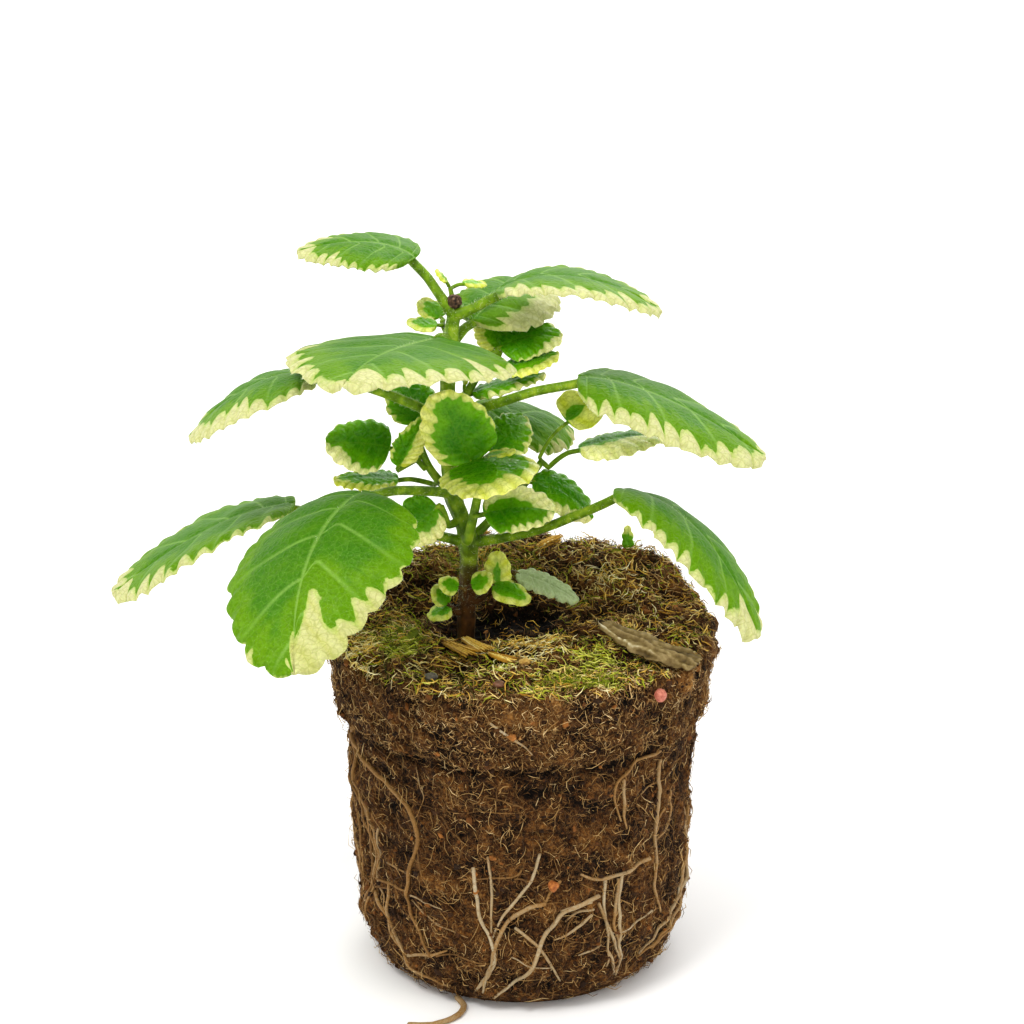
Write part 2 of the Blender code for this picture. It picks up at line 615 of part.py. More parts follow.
def make_shoot(name, shoot):
    points = np.array(shoot["route"])
    rise = points[1] - points[0]
    slope = math.atan2(rise[2], math.hypot(rise[0], rise[1]))
    axis = stem_point(points[0][2])
    outward = (points[0] - axis) / np.linalg.norm((points[0] - axis)[:2])
    points[0][:2] -= outward[:2] * clear_of_stem(points[0], shoot["radius"], slope)
    route = smooth_route(points, shoot_step)
    taper = np.linspace(1.0, 0.8, len(route))
    pieces = [tube(name, route, shoot["radius"] * taper, parts, 1)]
    for number, leaf in enumerate(shoot["leaves"]):
        label = name + "_" + str(number)
        inside = route[:-1]
        nearest = inside[np.argmin(np.linalg.norm(inside - np.array(leaf["at"]), axis=1))]
        pieces.append(make_stalk(leaf, label, False, first=nearest))
        pieces.append(make_blade(leaf, label, False))
    return join(pieces, name)


def make_ball():
    profile = [(radius, ball_top) for radius in top_rings]
    profile += [(rim_radius - rim_inset, ball_top - rim_inset * 0.1),
                (rim_radius - rim_inset * 0.2, ball_top - rim_inset * 0.8),
                (rim_radius, ball_top - rim_drop), ((rim_radius + collar_radius) / 2, collar_middle),
                (collar_radius, collar_height), (body_top_radius, collar_height - collar_step)]
    for z in wall_levels:
        radius = np.interp(z, [body_low_height, collar_height], [body_low_radius, body_top_radius])
        profile.append((radius, z))
    profile += [(body_low_radius, body_low_height), (foot_edge_radius, foot_height), (foot_radius, 0.0),
                (foot_radius / 2, 0.0), (0.0, 0.0)]
    mesh = bpy.data.meshes.new("root_ball")
    mesh.from_pydata([(r, 0.0, z) for r, z in profile], [(i, i + 1) for i in range(len(profile) - 1)], [])
    ball = add_object("root_ball", mesh, parts)
    turn = ball.modifiers.new("Turn", "SCREW")
    turn.steps = ball_steps
    turn.render_steps = ball_steps
    turn.use_merge_vertices = True
    turn.merge_threshold = 0.00001
    set_mesh(ball, evaluated_mesh(ball))
    foot = stem_point(ball_top)
    for vertex in ball.data.vertices:
        x, y, z = vertex.co
        reach = math.hypot(x, y)
        lump = noise.noise(vertex.co / lump_size)
        if reach > foot_radius * 0.99 and z > 0.001:
            push = wall_lump * lump * float(smooth(z / 0.012)) / reach
            vertex.co.x += x * push
            vertex.co.y += y * push
        rise = float(smooth((z - relief_from) / (ball_top - relief_from)))
        apart = math.hypot(x - foot[0], y - foot[1])
        bank = bank_height * float(smooth((y - bank_start) / bank_reach))
        hollow = hollow_depth * math.exp(-(apart / hollow_radius) ** 2)
        vertex.co.z += rise * (bank - hollow + top_lump * lump)
    bpy.ops.mesh.primitive_cylinder_add(
        vertices=16, radius=hole_radius, depth=hole_depth,
        location=(foot[0], foot[1], hole_bottom + hole_depth / 2))
    hole = bpy.context.object
    hole.name = "stem_hole"
    for holder in list(hole.users_collection):
        holder.objects.unlink(hole)
    cutters.objects.link(hole)
    hole.hide_render = True
    hole.display_type = "WIRE"
    cut = ball.modifiers.new("Stem hole", "BOOLEAN")
    cut.operation = "DIFFERENCE"
    cut.object = hole
    set_mesh(ball, evaluated_mesh(ball))
    return ball


def tree_of(thing):
    graph = bpy.context.evaluated_depsgraph_get()
    graph.update()
    return BVHTree.FromObject(thing, graph)


def wall_point(angle, height, lift):
    # A point held off the ball's wall, found by a level ray from outside
    a = math.radians(angle)
    outward = Vector((math.sin(a), -math.cos(a), 0.0))
    hit = ball_tree.ray_cast(Vector((0.0, 0.0, height)) + outward * 0.08, -outward)[0]
    return hit + outward * lift


def make_root_spray(name, routes):
    pieces = []
    for number, (radius, points) in enumerate(routes):
        unrolled = [(math.radians(angle) * body_top_radius, height) for angle, height in points]
        route = smooth_route(unrolled, root_step)
        places = [wall_point(math.degrees(x / body_top_radius), z, radius + touch_gap + root_margin)
                  for x, z in route]
        taper = np.interp(np.linspace(0, 1, len(route)), [0.0, 0.6, 1.0], [1.0, 0.9, 0.55])
        pieces.append(tube(name + "_" + str(number), places, radius * taper, parts, 0))
    return join(pieces, name)


def hidden_routes(number):
    # A main root that wanders down the wall and one branch that leaves it half way
    random = np.random.default_rng(hidden_seed + number)
    angle = np.interp(number, [0, hidden_sprays - 1], [hidden_first_angle, hidden_last_angle])
    heights = np.linspace(hidden_top, hidden_low, 7)
    angles = angle + np.cumsum(random.uniform(-hidden_wander, hidden_wander, 7))
    main = list(zip(angles, heights))
    turn = random.choice([-1, 1]) * hidden_fork
    branch = [main[3], (angles[3] + turn, heights[4]), (angles[4] + turn * 1.3, heights[5])]
    return [(hidden_radius, main), (hidden_radius * 0.75, branch)]


def lay_down(thing):
    # Lowers a loose thing until it lies a touch gap above the soil
    own_tree = tree_of(thing)
    drops = []
    for vertex in thing.data.vertices:
        place = thing.matrix_world @ vertex.co
        hit = ball_tree.ray_cast(place, Vector((0, 0, -1)))
        if hit[0]:
            drops.append(hit[3])
    world = thing.matrix_world.inverted()
    for vertex in ball.data.vertices:
        if vertex.co.z > collar_height:
            hit = own_tree.ray_cast(world @ vertex.co, Vector((0, 0, 1)))
            if hit[0]:
                drops.append(hit[3])
    thing.location.z -= min(drops) - touch_gap
    return thing


def apply_place(thing):
    bpy.context.view_layer.update()
    thing.data.transform(thing.matrix_world)
    thing.matrix_world.identity()
    return thing


def take_primitive(name):
    thing = bpy.context.object
    thing.name = name
    for holder in list(thing.users_collection):
        holder.objects.unlink(thing)
    parts.objects.link(thing)
    return thing


def make_chip(name, chip):
    bpy.ops.mesh.primitive_cube_add(size=1.0, location=(*chip["centre"], loose_height))
    thing = take_primitive(name)
    thing.scale = chip["size"]
    thing.rotation_euler = (0.0, math.radians(chip["slope"]), math.radians(chip["azimuth"]))
    return lay_down(apply_place(thing))


def make_stone(name, centre, size, height=loose_height):
    bpy.ops.mesh.primitive_ico_sphere_add(subdivisions=2, radius=0.5, location=(*centre, height))
    thing = take_primitive(name)
    thing.scale = size
    return apply_place(thing)


def make_moss(name, patch):
    # A low cushion that follows the soil under it
    bpy.ops.mesh.primitive_uv_sphere_add(segments=14, ring_count=6, radius=1.0, location=(0, 0, 0))
    thing = take_primitive(name)
    for vertex in thing.data.vertices:
        x = patch["centre"][0] + vertex.co.x * patch["radii"][0]
        y = patch["centre"][1] + vertex.co.y * patch["radii"][1]
        soil = ball_tree.ray_cast(Vector((x, y, 0.12)), Vector((0, 0, -1)))[0].z
        vertex.co = (x, y, soil + moss_lift + patch["thickness"] * (vertex.co.z + 1) / 2)
    return thing


clear_scene()
parts = new_collection(object_name)
cutters = new_collection("cutters")
made = []

ball = make_ball()
ball_tree = tree_of(ball)
made.append((ball, "soil"))
made.append((make_stem(), "stem"))
made += [(make_big_leaf(name, leaf), "leaf") for name, leaf in big_leaves.items()]
made += [(make_shoot(name, shoot), "young_leaf") for name, shoot in shoots.items() if name != "leaf_old"]
made.append((make_shoot("leaf_old", shoots["leaf_old"]), "old_leaf"))
made.append((make_stone("cut_scar", scar_centre[:2], [scar_radius * 2] * 3, scar_centre[2]), "scar"))
made += [(make_root_spray(name, routes), "root") for name, routes in root_sprays.items()]
made += [(make_root_spray("roots_back_" + str(k + 1), hidden_routes(k)), "root")
         for k in range(hidden_sprays)]
tail = smooth_route(tail_route, root_step)
made.append((tube("root_tail", tail, np.linspace(1.0, 0.6, len(tail)) * tail_radius, parts, 1), "root"))
made.append((lay_down(make_blade(dead_leaf, "dead_leaf", False)), "dead_leaf"))
made.append((lay_down(join([make_blade(seedling, "seedling", False), make_stalk(seedling, "seedling", False)],
                           "seedling")), "young_leaf"))
made += [(make_chip("straw_chip_" + str(k + 1), chip), "straw") for k, chip in enumerate(straw_chips)]
made.append((make_chip("straw_stick", straw_stick), "straw"))
made += [(lay_down(make_stone(name, stone["centre"], stone["size"])), "stone")
         for name, stone in pebbles.items()]
for name, grain in wall_grains.items():
    place = wall_point(grain["angle"], grain["height"], grain["radius"] + touch_gap)
    made.append((make_stone(name, place[:2], [grain["radius"] * 2] * 3, place[2]), name))
made += [(make_moss(name, patch), "moss") for name, patch in moss_patches.items()]
for thing, finish in made:
    give_finish(thing, finish)
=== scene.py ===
# Candle plant with a bare root ball: the looks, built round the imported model
import math
from functools import partial

import bpy
import numpy as np
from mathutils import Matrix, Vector, noise


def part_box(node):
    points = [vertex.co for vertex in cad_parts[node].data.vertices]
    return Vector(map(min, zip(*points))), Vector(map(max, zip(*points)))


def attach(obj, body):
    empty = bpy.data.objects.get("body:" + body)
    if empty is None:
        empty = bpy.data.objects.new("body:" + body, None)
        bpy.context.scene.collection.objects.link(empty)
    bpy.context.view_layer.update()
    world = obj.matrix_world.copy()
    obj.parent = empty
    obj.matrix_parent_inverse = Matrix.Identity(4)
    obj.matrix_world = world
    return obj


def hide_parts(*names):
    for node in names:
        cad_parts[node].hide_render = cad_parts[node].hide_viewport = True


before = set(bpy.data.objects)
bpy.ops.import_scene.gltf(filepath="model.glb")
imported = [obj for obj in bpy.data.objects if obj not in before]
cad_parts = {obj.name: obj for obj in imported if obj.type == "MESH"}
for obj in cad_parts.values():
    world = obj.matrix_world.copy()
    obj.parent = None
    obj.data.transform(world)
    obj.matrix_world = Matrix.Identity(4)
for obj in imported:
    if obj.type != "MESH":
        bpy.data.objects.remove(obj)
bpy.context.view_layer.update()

mm = 0.001
triangles = []

# Camera and stage: the photograph looks along +Y from a little above
stage = dict(
    elevation=19.5, target=(-0.002, 0.0, 0.104), distance=0.680, lens=110,
    floorColour="#f7f6f4", floorHalf=4, skyColour="#ffffff", skyStrength=0.95,
    keyPlace=(-0.35, -0.45, 0.95), keySize=0.40, keyPower=4.6,
    fillPlace=(0.7, -0.5, 0.45), fillSize=0.8, fillPower=1.3,
    backPlace=(0.25, 0.75, 0.6), backSize=0.7, backPower=2.0, lampTarget=(0, 0, 0.09),
    viewTransform="Standard", viewLook="Medium High Contrast")
usedOutputs = dict(ShaderNodeMix=2, ShaderNodeTexCoord=3)
fieldShapes = dict(leafGrid=(3,), leafFlat=(3,), leafReach=(), shade=())


def toLinear(code):
    # sRGB hex to the linear colour that Blender's sockets take
    shares = [int(code[i:i + 2], 16) / 255 for i in (1, 3, 5)]
    return tuple(c / 12.92 if c <= 0.04045 else ((c + 0.055) / 1.055) ** 2.4 for c in shares) + (1.0,)


def feed(node, inputs):
    # Inputs by name, or a list in the node's order: values, hex colours, sockets, or a node's used output
    for name, value in (enumerate(inputs) if isinstance(inputs, list) else inputs.items()):
        if isinstance(value, bpy.types.Node):
            value = value.outputs[usedOutputs.get(value.bl_idname, 0)]
        if isinstance(value, bpy.types.NodeSocket):
            node.id_data.links.new(value, node.inputs[name])
        else:
            node.inputs[name].default_value = toLinear(value) if isinstance(value, str) else value


def addNode(material, kind, inputs=(), stops=(), **settings):
    # One node with its settings, its ramp's stops if it has any, and its inputs
    node = material.node_tree.nodes.new("ShaderNode" + kind)
    for name, value in settings.items():
        setattr(node, name, value)
    for number, (place, colour) in enumerate(stops):
        elements = node.color_ramp.elements
        element = elements[number] if number < len(elements) else elements.new(1.0)
        element.position = place
        element.color = toLinear(colour)
    feed(node, inputs or {})
    return node


def newMaterial(name):
    material = bpy.data.materials.new(name)
    material.use_nodes = True
    return material, material.node_tree.nodes["Principled BSDF"], partial(addNode, material)


def smooth(t):
    t = np.clip(t, 0.0, 1.0)
    return t * t * (3.0 - 2.0 * t)


def unit(vectors):
    return vectors / (np.linalg.norm(vectors, axis=-1, keepdims=True) + 1e-12)


def heading(azimuth, pitch):
    a, p = np.radians(azimuth), np.radians(pitch)
    return np.stack([np.cos(a) * np.cos(p), np.sin(a) * np.cos(p), np.sin(p)], axis=-1)


def smoothRoute(points, step):
    # A Catmull-Rom curve through the points, read about every step
    points = np.array(points, float)
    ends = np.vstack([2 * points[0] - points[1], points, 2 * points[-1] - points[-2]])
    route = [points[0]]
    for i in range(1, len(ends) - 2):
        a, b, c, d = ends[i - 1:i + 3]
        count = max(1, int(round(np.linalg.norm(c - b) / step)))
        for k in range(1, count + 1):
            t = k / count
            bend = (b - a + c - b) / 2
            leave = (c - b + d - c) / 2
            route.append((2 * t ** 3 - 3 * t ** 2 + 1) * b + (t ** 3 - 2 * t ** 2 + t) * bend
                         + (3 * t ** 2 - 2 * t ** 3) * c + (t ** 3 - t ** 2) * leave)
    return np.array(route)


def noiseAt(points, size, seed=0.0):
    # Blender's own noise at each point, about -1 to 1, with lumps of about the given size
    shift = Vector((seed * 7.31, seed * 3.17, seed * 5.71))
    return np.array([noise.noise(Vector(point) / size + shift) for point in points])


def roundNoise(count, turn, step, reach, size, seed):
    # Noise over a tube, a share to add to its radius at each ring and angle
    spot = np.stack([np.repeat(np.arange(count) * step, len(turn)), np.tile(np.cos(turn) * reach, count),
                     np.tile(np.sin(turn) * reach, count)], axis=1)
    return noiseAt(spot, size, seed).reshape(count, len(turn))


def joinWords(name):
    return "".join(word.capitalize() for word in name.split("_"))


# Meshes are gathered part by part and made in one go: points, faces, a finish number and the attributes
def newBundle():
    return dict(points=[], faces=[], finish=[], count=0, **{label: [] for label in fieldShapes})


def addPart(bundle, points, faces, finish=0, **fields):
    bundle["points"].append(points)
    for block in faces:
        bundle["faces"].append(block + bundle["count"])
        bundle["finish"].append(np.full(len(block), finish))
    for label, shape in fieldShapes.items():
        bundle[label].append(np.broadcast_to(fields.get(label, 0.0), (len(points), *shape)))
    bundle["count"] += len(points)


def finishPiece(bundle, name, node, materials, smoothFaces=True):
    points = np.concatenate(bundle["points"])
    points[:, 2] = np.maximum(points[:, 2], 0.0)  # nothing goes below the resting surface
    loops = np.concatenate([block.ravel() for block in bundle["faces"]])
    sizes = np.concatenate([np.full(len(block), block.shape[1]) for block in bundle["faces"]])
    starts = np.concatenate([[0], np.cumsum(sizes)[:-1]])
    mesh = bpy.data.meshes.new(name)
    mesh.vertices.add(len(points))
    mesh.vertices.foreach_set("co", points.ravel())
    mesh.loops.add(len(loops))
    mesh.loops.foreach_set("vertex_index", loops.astype(np.int32))
    mesh.polygons.add(len(sizes))
    mesh.polygons.foreach_set("loop_start", starts.astype(np.int32))
    mesh.update(calc_edges=True)
    mesh.polygons.foreach_set("material_index", np.concatenate(bundle["finish"]).astype(np.int32))
    mesh.polygons.foreach_set("use_smooth", np.full(len(sizes), smoothFaces))
    for label, shape in fieldShapes.items():
        values = np.concatenate(bundle[label])
        if np.any(values):
            data = mesh.attributes.new(label, "FLOAT_VECTOR" if shape else "FLOAT", "POINT").data
            data.foreach_set("vector" if shape else "value", values.ravel())
    mesh.validate()
    piece = bpy.data.objects.new(name, mesh)
    bpy.context.scene.collection.objects.link(piece)
    for material in materials:
        mesh.materials.append(material)
    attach(piece, "root")
    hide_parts(node)
    triangles.append(int(np.sum(sizes - 2)))


def gridFaces(rows, columns, closed=True, flip=False):
    # Quads between rows of points; a closed grid joins its last column to its first
    i = np.arange(rows - 1)[:, None] * columns
    k = np.arange(columns if closed else columns - 1)[None, :]
    n = (k + 1) % columns
    corners = [i + k, i + n, i + columns + n, i + columns + k]
    return np.stack([corners[j] for j in ((0, 3, 2, 1) if flip else (0, 1, 2, 3))], axis=-1).reshape(-1, 4)


def fan(ring, tip, flip=False):
    after = np.roll(ring, -1)
    return np.stack([after if flip else ring, ring if flip else after, np.full(len(ring), tip)], axis=1)


def closedFaces(rows, sides, flip=False):
    # A closed skin over rings of points; its two end points come after them
    ring, tip = np.arange(sides), rows * sides
    return [gridFaces(rows, sides, flip=flip),
            np.vstack([fan(ring, tip, not flip), fan(ring + tip - sides, tip + 1, flip)])]


def routeFrames(route, upward=None):
    # Directions along a route and two crosswise directions that turn with it as little as they can
    along = unit(np.gradient(route, axis=0))
    previous = np.array(upward if upward is not None else (0.0, 0.0, 1.0))
    if abs(np.dot(previous, along[0])) > 0.95:
        previous = np.array((1.0, 0.0, 0.0))
    one = np.zeros_like(route)
    for i, direction in enumerate(along):
        previous = previous - direction * np.dot(previous, direction)
        previous = previous / (np.linalg.norm(previous) + 1e-12)
        one[i] = previous
    return along, one, np.cross(along, one)


def tubePart(route, radii, sides, section=None, upward=None, relief=None):
    # A tube with rounded ends; section scales the radius round it and relief adds to it at each point
    along, one, two = routeFrames(route, upward)
    turn = np.linspace(0, 2 * np.pi, sides, endpoint=False)
    radius = np.asarray(radii)[:, None] * (np.ones(sides) if section is None else section(turn))
    if relief is not None:
        radius = radius * relief(len(route), turn)
    ring = one[:, None, :] * np.cos(turn)[None, :, None] + two[:, None, :] * np.sin(turn)[None, :, None]
    points = (route[:, None, :] + ring * radius[:, :, None]).reshape(-1, 3)
    tips = np.array([route[0] - along[0] * radii[0] * 0.5, route[-1] + along[-1] * radii[-1] * 0.5])
    return np.vstack([points, tips]), closedFaces(len(route), sides)


def addHairs(bundle, roots, directions, lengths, radius, finish, random, droop=0.25):
    # Short bent hairs, each a three-sided cone in two steps
    count = len(roots)
    across = unit(np.cross(directions, random.normal(size=(count, 3))))
    other = np.cross(directions, across)
    middle = roots + directions * (lengths * 0.55)[:, None]
    tip = roots + directions * lengths[:, None] + across * (lengths * droop)[:, None]
    rings = []
    for centre, share in ((roots, 1.0), (middle, 0.7)):
        for a in 2 * math.pi * np.arange(3) / 3:
            rings.append(centre + (across * math.cos(a) + other * math.sin(a)) * radius * share)
    points = np.stack(rings + [tip], axis=1).reshape(-1, 3)
    start = np.arange(count)[:, None] * 7
    quads = [start + np.array([[k, (k + 1) % 3, 3 + (k + 1) % 3, 3 + k]]) for k in range(3)]
    caps = [start + np.array([[3 + k, 3 + (k + 1) % 3, 6]]) for k in range(3)]
    addPart(bundle, points, [np.concatenate(quads), np.concatenate(caps)], finish)


# Leaf blade: living leaf of a candle plant, waxy skin over soft flesh, thinly felted with white hairs.
# The eye sees a green that is duller along the midrib, cream at the margin where there is no green,
# and a fine net of sunk veins that breaks up the soft gloss.
leafLooks = {
    "matureLeafSkin": dict(
        bright="#678e00", deep="#4d7c00", centre="#417410", cream="#bfbf89", young="#aaac55", vein="#8db158",
        veinShare=0.62, net=0.12, specks=0.10, roughness=0.46, sheen=0.06, specular=0.14, netSize=1.5,
        netDepth=0.10),
    "youngLeafSkin": dict(
        bright="#7cb400", deep="#468a00", centre="#3a7c00", cream="#fffbbc", young="#d3d848", vein="#7da52c",
        veinShare=0.30, net=0.15, specks=0.03, roughness=0.26, sheen=0.0, specular=0.28, netSize=1.5,
        netDepth=0.12),
    "oldLeafSkin": dict(
        bright="#bcc99c", deep="#a2b382", centre="#98aa78", cream="#dcdfbe", young="#dcdfbe", vein="#ccd5ac",
        veinShare=0.5, net=0.2, specks=0.2, roughness=0.55, sheen=0.15, specular=0.2, netSize=1.2,
        netDepth=0.10)}
# Flesh lets a little light through, greener than it came in
flesh = {"Sheen Tint": "#e6f2dc", "Subsurface Radius": (0.6, 1.0, 0.25), "Subsurface Scale": 0.6 * mm}
softStep = dict(interpolation_type="SMOOTHSTEP")
colours = dict(data_type="RGBA")


def makeLeafSkin(name, look, under):
    material, skin, add = newMaterial(name + ("Under" if under else ""))
    grid = add("Attribute", attribute_name="leafGrid").outputs["Vector"]
    flat = add("Attribute", attribute_name="leafFlat").outputs["Vector"]
    reach = add("Attribute", attribute_name="leafReach").outputs["Fac"]
    age = add("Attribute", attribute_name="shade").outputs["Fac"]
    gridParts = add("SeparateXYZ", [grid]).outputs
    # Streaks run out between the side veins, and cells 1.3 mm wide square off the edge of the cream
    streakPlace = add("Mapping", {"Vector": grid, "Scale": (1.3, 2.3, 1.0)})
    streak = add("TexNoise", {"Vector": streakPlace, "Scale": 1.0, "Detail": 2.0, "Roughness": 0.5})
    warp = add("TexNoise", {"Vector": flat, "Scale": 0.55, "Detail": 2.0})
    warped = add("VectorMath", [warp.outputs["Color"], (1.6, 1.6, 0.0), flat], operation="MULTIPLY_ADD")
    cells = add("TexVoronoi", {"Vector": warped, "Scale": 1 / 1.3, "Randomness": 0.9}, feature="F1")
    cellTone = add("SeparateColor", [cells.outputs["Color"]])
    streakPush = add("Math", [streak, 3.6, -2.0], operation="MULTIPLY_ADD")
    cellPush = add("Math", [cellTone, 0.5, streakPush], operation="MULTIPLY_ADD")
    # The push scales with the leaf, so small leaves have finer edges
    sized = add("Math", [cellPush, gridParts["Z"]], operation="MULTIPLY")
    inside = add("Math", [reach, sized], operation="ADD")
    green = add("MapRange", [inside, -0.22, 0.22], **softStep)
    # A duller green lies along the midrib and fades out towards the cream
    coreStart = add("Math", [gridParts["Z"], -5.0, inside], operation="MULTIPLY_ADD")
    core = add("MapRange", [coreStart, -1.5, 1.9], **softStep)
    patch = add("TexNoise", {"Vector": flat, "Scale": 0.22, "Detail": 3.0})
    patchShare = add("MapRange", [patch, 0.25, 0.65, 0.6])
    coreShare = add("Math", [core, patchShare], operation="MULTIPLY")
    fine = add("TexNoise", {"Vector": flat, "Scale": 1.4, "Detail": 4.0, "Roughness": 0.7})
    greens = add("Mix", {0: patch, 6: look["bright"], 7: look["deep"]}, **colours)
    centred = add("Mix", {0: coreShare, 6: greens, 7: look["centre"]}, **colours)
    # Side veins follow the rows of the grid; the midrib is where the row's share across is nothing
    phase = add("Math", [gridParts["Y"], 0.5], operation="PINGPONG")
    sideVein = add("MapRange", [phase, 0.0, 0.075, 0.85, 0.0], **softStep)
    acrossShare = add("Math", [gridParts["X"]], operation="ABSOLUTE")
    midVein = add("MapRange", [acrossShare, 0.0, 0.045, 1.0, 0.0], **softStep)
    fade = add("MapRange", [acrossShare, 0.3, 1.0, 1.0, 0.25])
    fadedVein = add("Math", [sideVein, fade], operation="MULTIPLY")
    veins = add("Math", [fadedVein, midVein], operation="MAXIMUM")
    net = add("TexVoronoi", {"Vector": warped, "Scale": 1 / look["netSize"]}, feature="DISTANCE_TO_EDGE")
    netLine = add("MapRange", [net, 0.0, 0.12, 1.0, 0.0], **softStep)
    netShare = add("Math", [netLine, look["net"]], operation="MULTIPLY")
    veinShare = add("Math", [veins, look["veinShare"]], operation="MULTIPLY")
    lineShare = add("Math", [veinShare, netShare], operation="MAXIMUM")
    veined = add("Mix", {0: lineShare, 6: centred, 7: look["vein"]}, **colours)
    # The shade attribute holds the leaf's age plus the painted lobe shading, so the cream turns yellower in
    # the grooves as painted shade
    creams = add("Mix", {0: age, 6: look["cream"], 7: look["young"]}, **colours)
    # Along the sunk vein net the cream is darker: partly the veins' own yellow-green, partly painted shade in
    # the grooves
    creamLine = add("Math", [netLine, 0.35], operation="MULTIPLY")
    creamShade = add("Mix", {0: creamLine, 6: creams, 7: "#b4bb66"}, blend_type="MULTIPLY", **colours)
    # Beside the green the cream is still tinged with it
    tinge = add("MapRange", [inside, -1.5, -0.1, 0.0, 0.55])
    tinged = add("Mix", {0: tinge, 6: creamShade, 7: "#97b04a"}, **colours)
    painted = add("Mix", {0: green, 6: tinged, 7: veined}, **colours)
    # Fine white hairs stand all over the blade and show as pale specks
    hairSpot = add("TexNoise", {"Vector": flat, "Scale": 2.6, "Detail": 1.0})
    hairShare = add("MapRange", [hairSpot, 0.60, 0.78, 0.0, look["specks"]])
    specked = add("Mix", {0: hairShare, 6: painted, 7: "#c4dba0"}, **colours)
    dapple = add("MapRange", [fine, 0.3, 0.7, 0.84, 1.14])
    colour = add("VectorMath", {0: specked, "Scale": dapple}, operation="SCALE")
    if under:
        colour = add("Mix", {0: 0.45, 6: colour, 7: "#a9bd84"}, **colours)
    # Sunk vein net, pillows between, and a fine grain from the hairs; the cream is smoother than the green
    pillow = add("MapRange", [net, 0.0, 0.45], **softStep)
    grain = add("TexNoise", {"Vector": flat, "Scale": 5.0, "Detail": 2.0})
    height = add("Math", [grain, 0.22, pillow], operation="MULTIPLY_ADD")
    strength = add("MapRange", {"Value": green, "To Min": 0.35, "To Max": 0.9})
    depth = look["netDepth"] * mm
    relief = add("Bump", {"Strength": strength, "Distance": depth, "Height": height}, invert=under)
    gloss = add("MapRange", [fine, 0.3, 0.7, look["roughness"] - 0.06, look["roughness"] + 0.12])
    feed(skin, {"Base Color": colour, "Normal": relief, "Roughness": gloss, "IOR": 1.42,
                "Specular IOR Level": look["specular"], "Sheen Weight": look["sheen"],
                "Sheen Roughness": 0.45, "Subsurface Weight": 0.12, **flesh})
    return material


# Stalk and stem skin: soft ribbed green skin with short hairs; the stem turns brown and corky near the soil
def makeStalkSkin():
    material, skin, add = newMaterial("stalkSkin")
    place = add("TexCoord")
    parts = add("SeparateXYZ", [place]).outputs
    blotch = add("TexNoise", {"Vector": place, "Scale": 420.0, "Detail": 3.0})
    level = add("Math", [blotch, 0.012, parts["Z"]], operation="MULTIPLY_ADD")
    corky = add("MapRange", [level, 0.0925, 0.1045], **softStep)
    greens = add("ValToRGB", [blotch], [(0.32, "#4e6c04"), (0.52, "#6f900c"), (0.72, "#98ae2e")])
    browns = add("ValToRGB", [blotch], [(0.3, "#352008"), (0.55, "#5b3b16"), (0.75, "#7c5a26")])
    toned = add("Mix", {0: corky, 6: browns, 7: greens}, **colours)
    stretch = add("Mapping", {"Vector": place, "Scale": (2600.0, 2600.0, 500.0)})
    grain = add("TexNoise", {"Vector": stretch, "Scale": 1.0, "Detail": 2.0})
    relief = add("Bump", {"Strength": 0.8, "Distance": 0.10 * mm, "Height": grain})
    feed(skin, {"Base Color": toned, "Normal": relief, "Roughness": 0.5, "IOR": 1.45, "Sheen Weight": 0.08,
                "Specular IOR Level": 0.3, "Subsurface Weight": 0.1, **flesh})
    return material


def makeSpeckledSkin(name, stops, scale, roughness, detail=5.0, grit=0.7, depth=0.2 * mm):
    # A matt skin whose tone and relief drift together with one fine noise
    material, skin, add = newMaterial(name)
    drift = add("TexNoise", {"Vector": add("TexCoord"), "Scale": scale, "Detail": detail, "Roughness": grit})
    feed(skin, {"Base Color": add("ValToRGB", [drift], stops), "Roughness": roughness})
    if depth:
        feed(skin, {"Normal": add("Bump", {"Strength": 1.0, "Distance": depth, "Height": drift})})
    return material


leafSkins = {}
for name, look in leafLooks.items():
    leafSkins[name] = [makeLeafSkin(name, look, under) for under in (False, True)]
stalkSkin = makeStalkSkin()
# Plant hair: clear dry single-cell hairs that catch the light as a pale edge
hairSkin = makeSpeckledSkin("plantHair", [(0.35, "#cfdcae"), (0.65, "#f3f6e4")], 900.0, 0.45, 1.0, 0.5, 0)
print("leaf and stalk materials made")


# Leaf geometry: the same named values and formulas as the solids, read much more finely
upperSide, underside, stalkFinish, hairFinish = range(4)
blade = dict(
    thickness=0.62 * mm, smallThickness=0.85, toothless=0.2, bigDepth=0.036, smallDepth=0.045,
    bigTeeth=8, smallTeeth=5, tinyTeeth=3, bigLobes=1.45, smallLobes=1.6, tinyLobes=1.0,
    bigRows=100, smallRows=40, tinyRows=20, bigColumns=20, smallColumns=10, tinyColumns=6,
    tinyLength=9.2 * mm, fullLength=45 * mm, sideVeins=5.5, smallSideVeins=4.5, marginTurns=400,
    quilt=0.34 * mm, puff=0.85 * mm, waver=0.30 * mm, edgeDrop=1.1 * mm, midGroove=0.30 * mm)
stalk = dict(
    radius=1.15 * mm, tip=0.45 * mm, ribShare=0.82, smallRadius=0.65 * mm, smallTip=0.4 * mm,
    smallRibShare=0.55, tinyThick=0.7, tinyThin=0.6, foot=0.28, footReach=3.0 * mm, sides=12, smallSides=7,
    bite=-0.22 * mm, hairsPerMm=12, marginHairs=6, hairLength=0.75 * mm, smallHairs=0.7,
    hairRadius=0.022 * mm)


def leafAngles(leaf, distance):
    inStalk = smooth(distance / leaf["stalk"])
    inBlade = np.clip((distance - leaf["stalk"]) / leaf["length"], 0.0, 1.0)
    azimuth = leaf["azimuth"] + leaf.get("stalkSwing", 0) * inStalk + leaf["swing"] * inBlade
    pitch = leaf["rise"] + (leaf["pitch"] - leaf["rise"]) * inStalk
    return azimuth, pitch - leaf["droop"] * inBlade ** leaf.get("droopPower", 1.0)


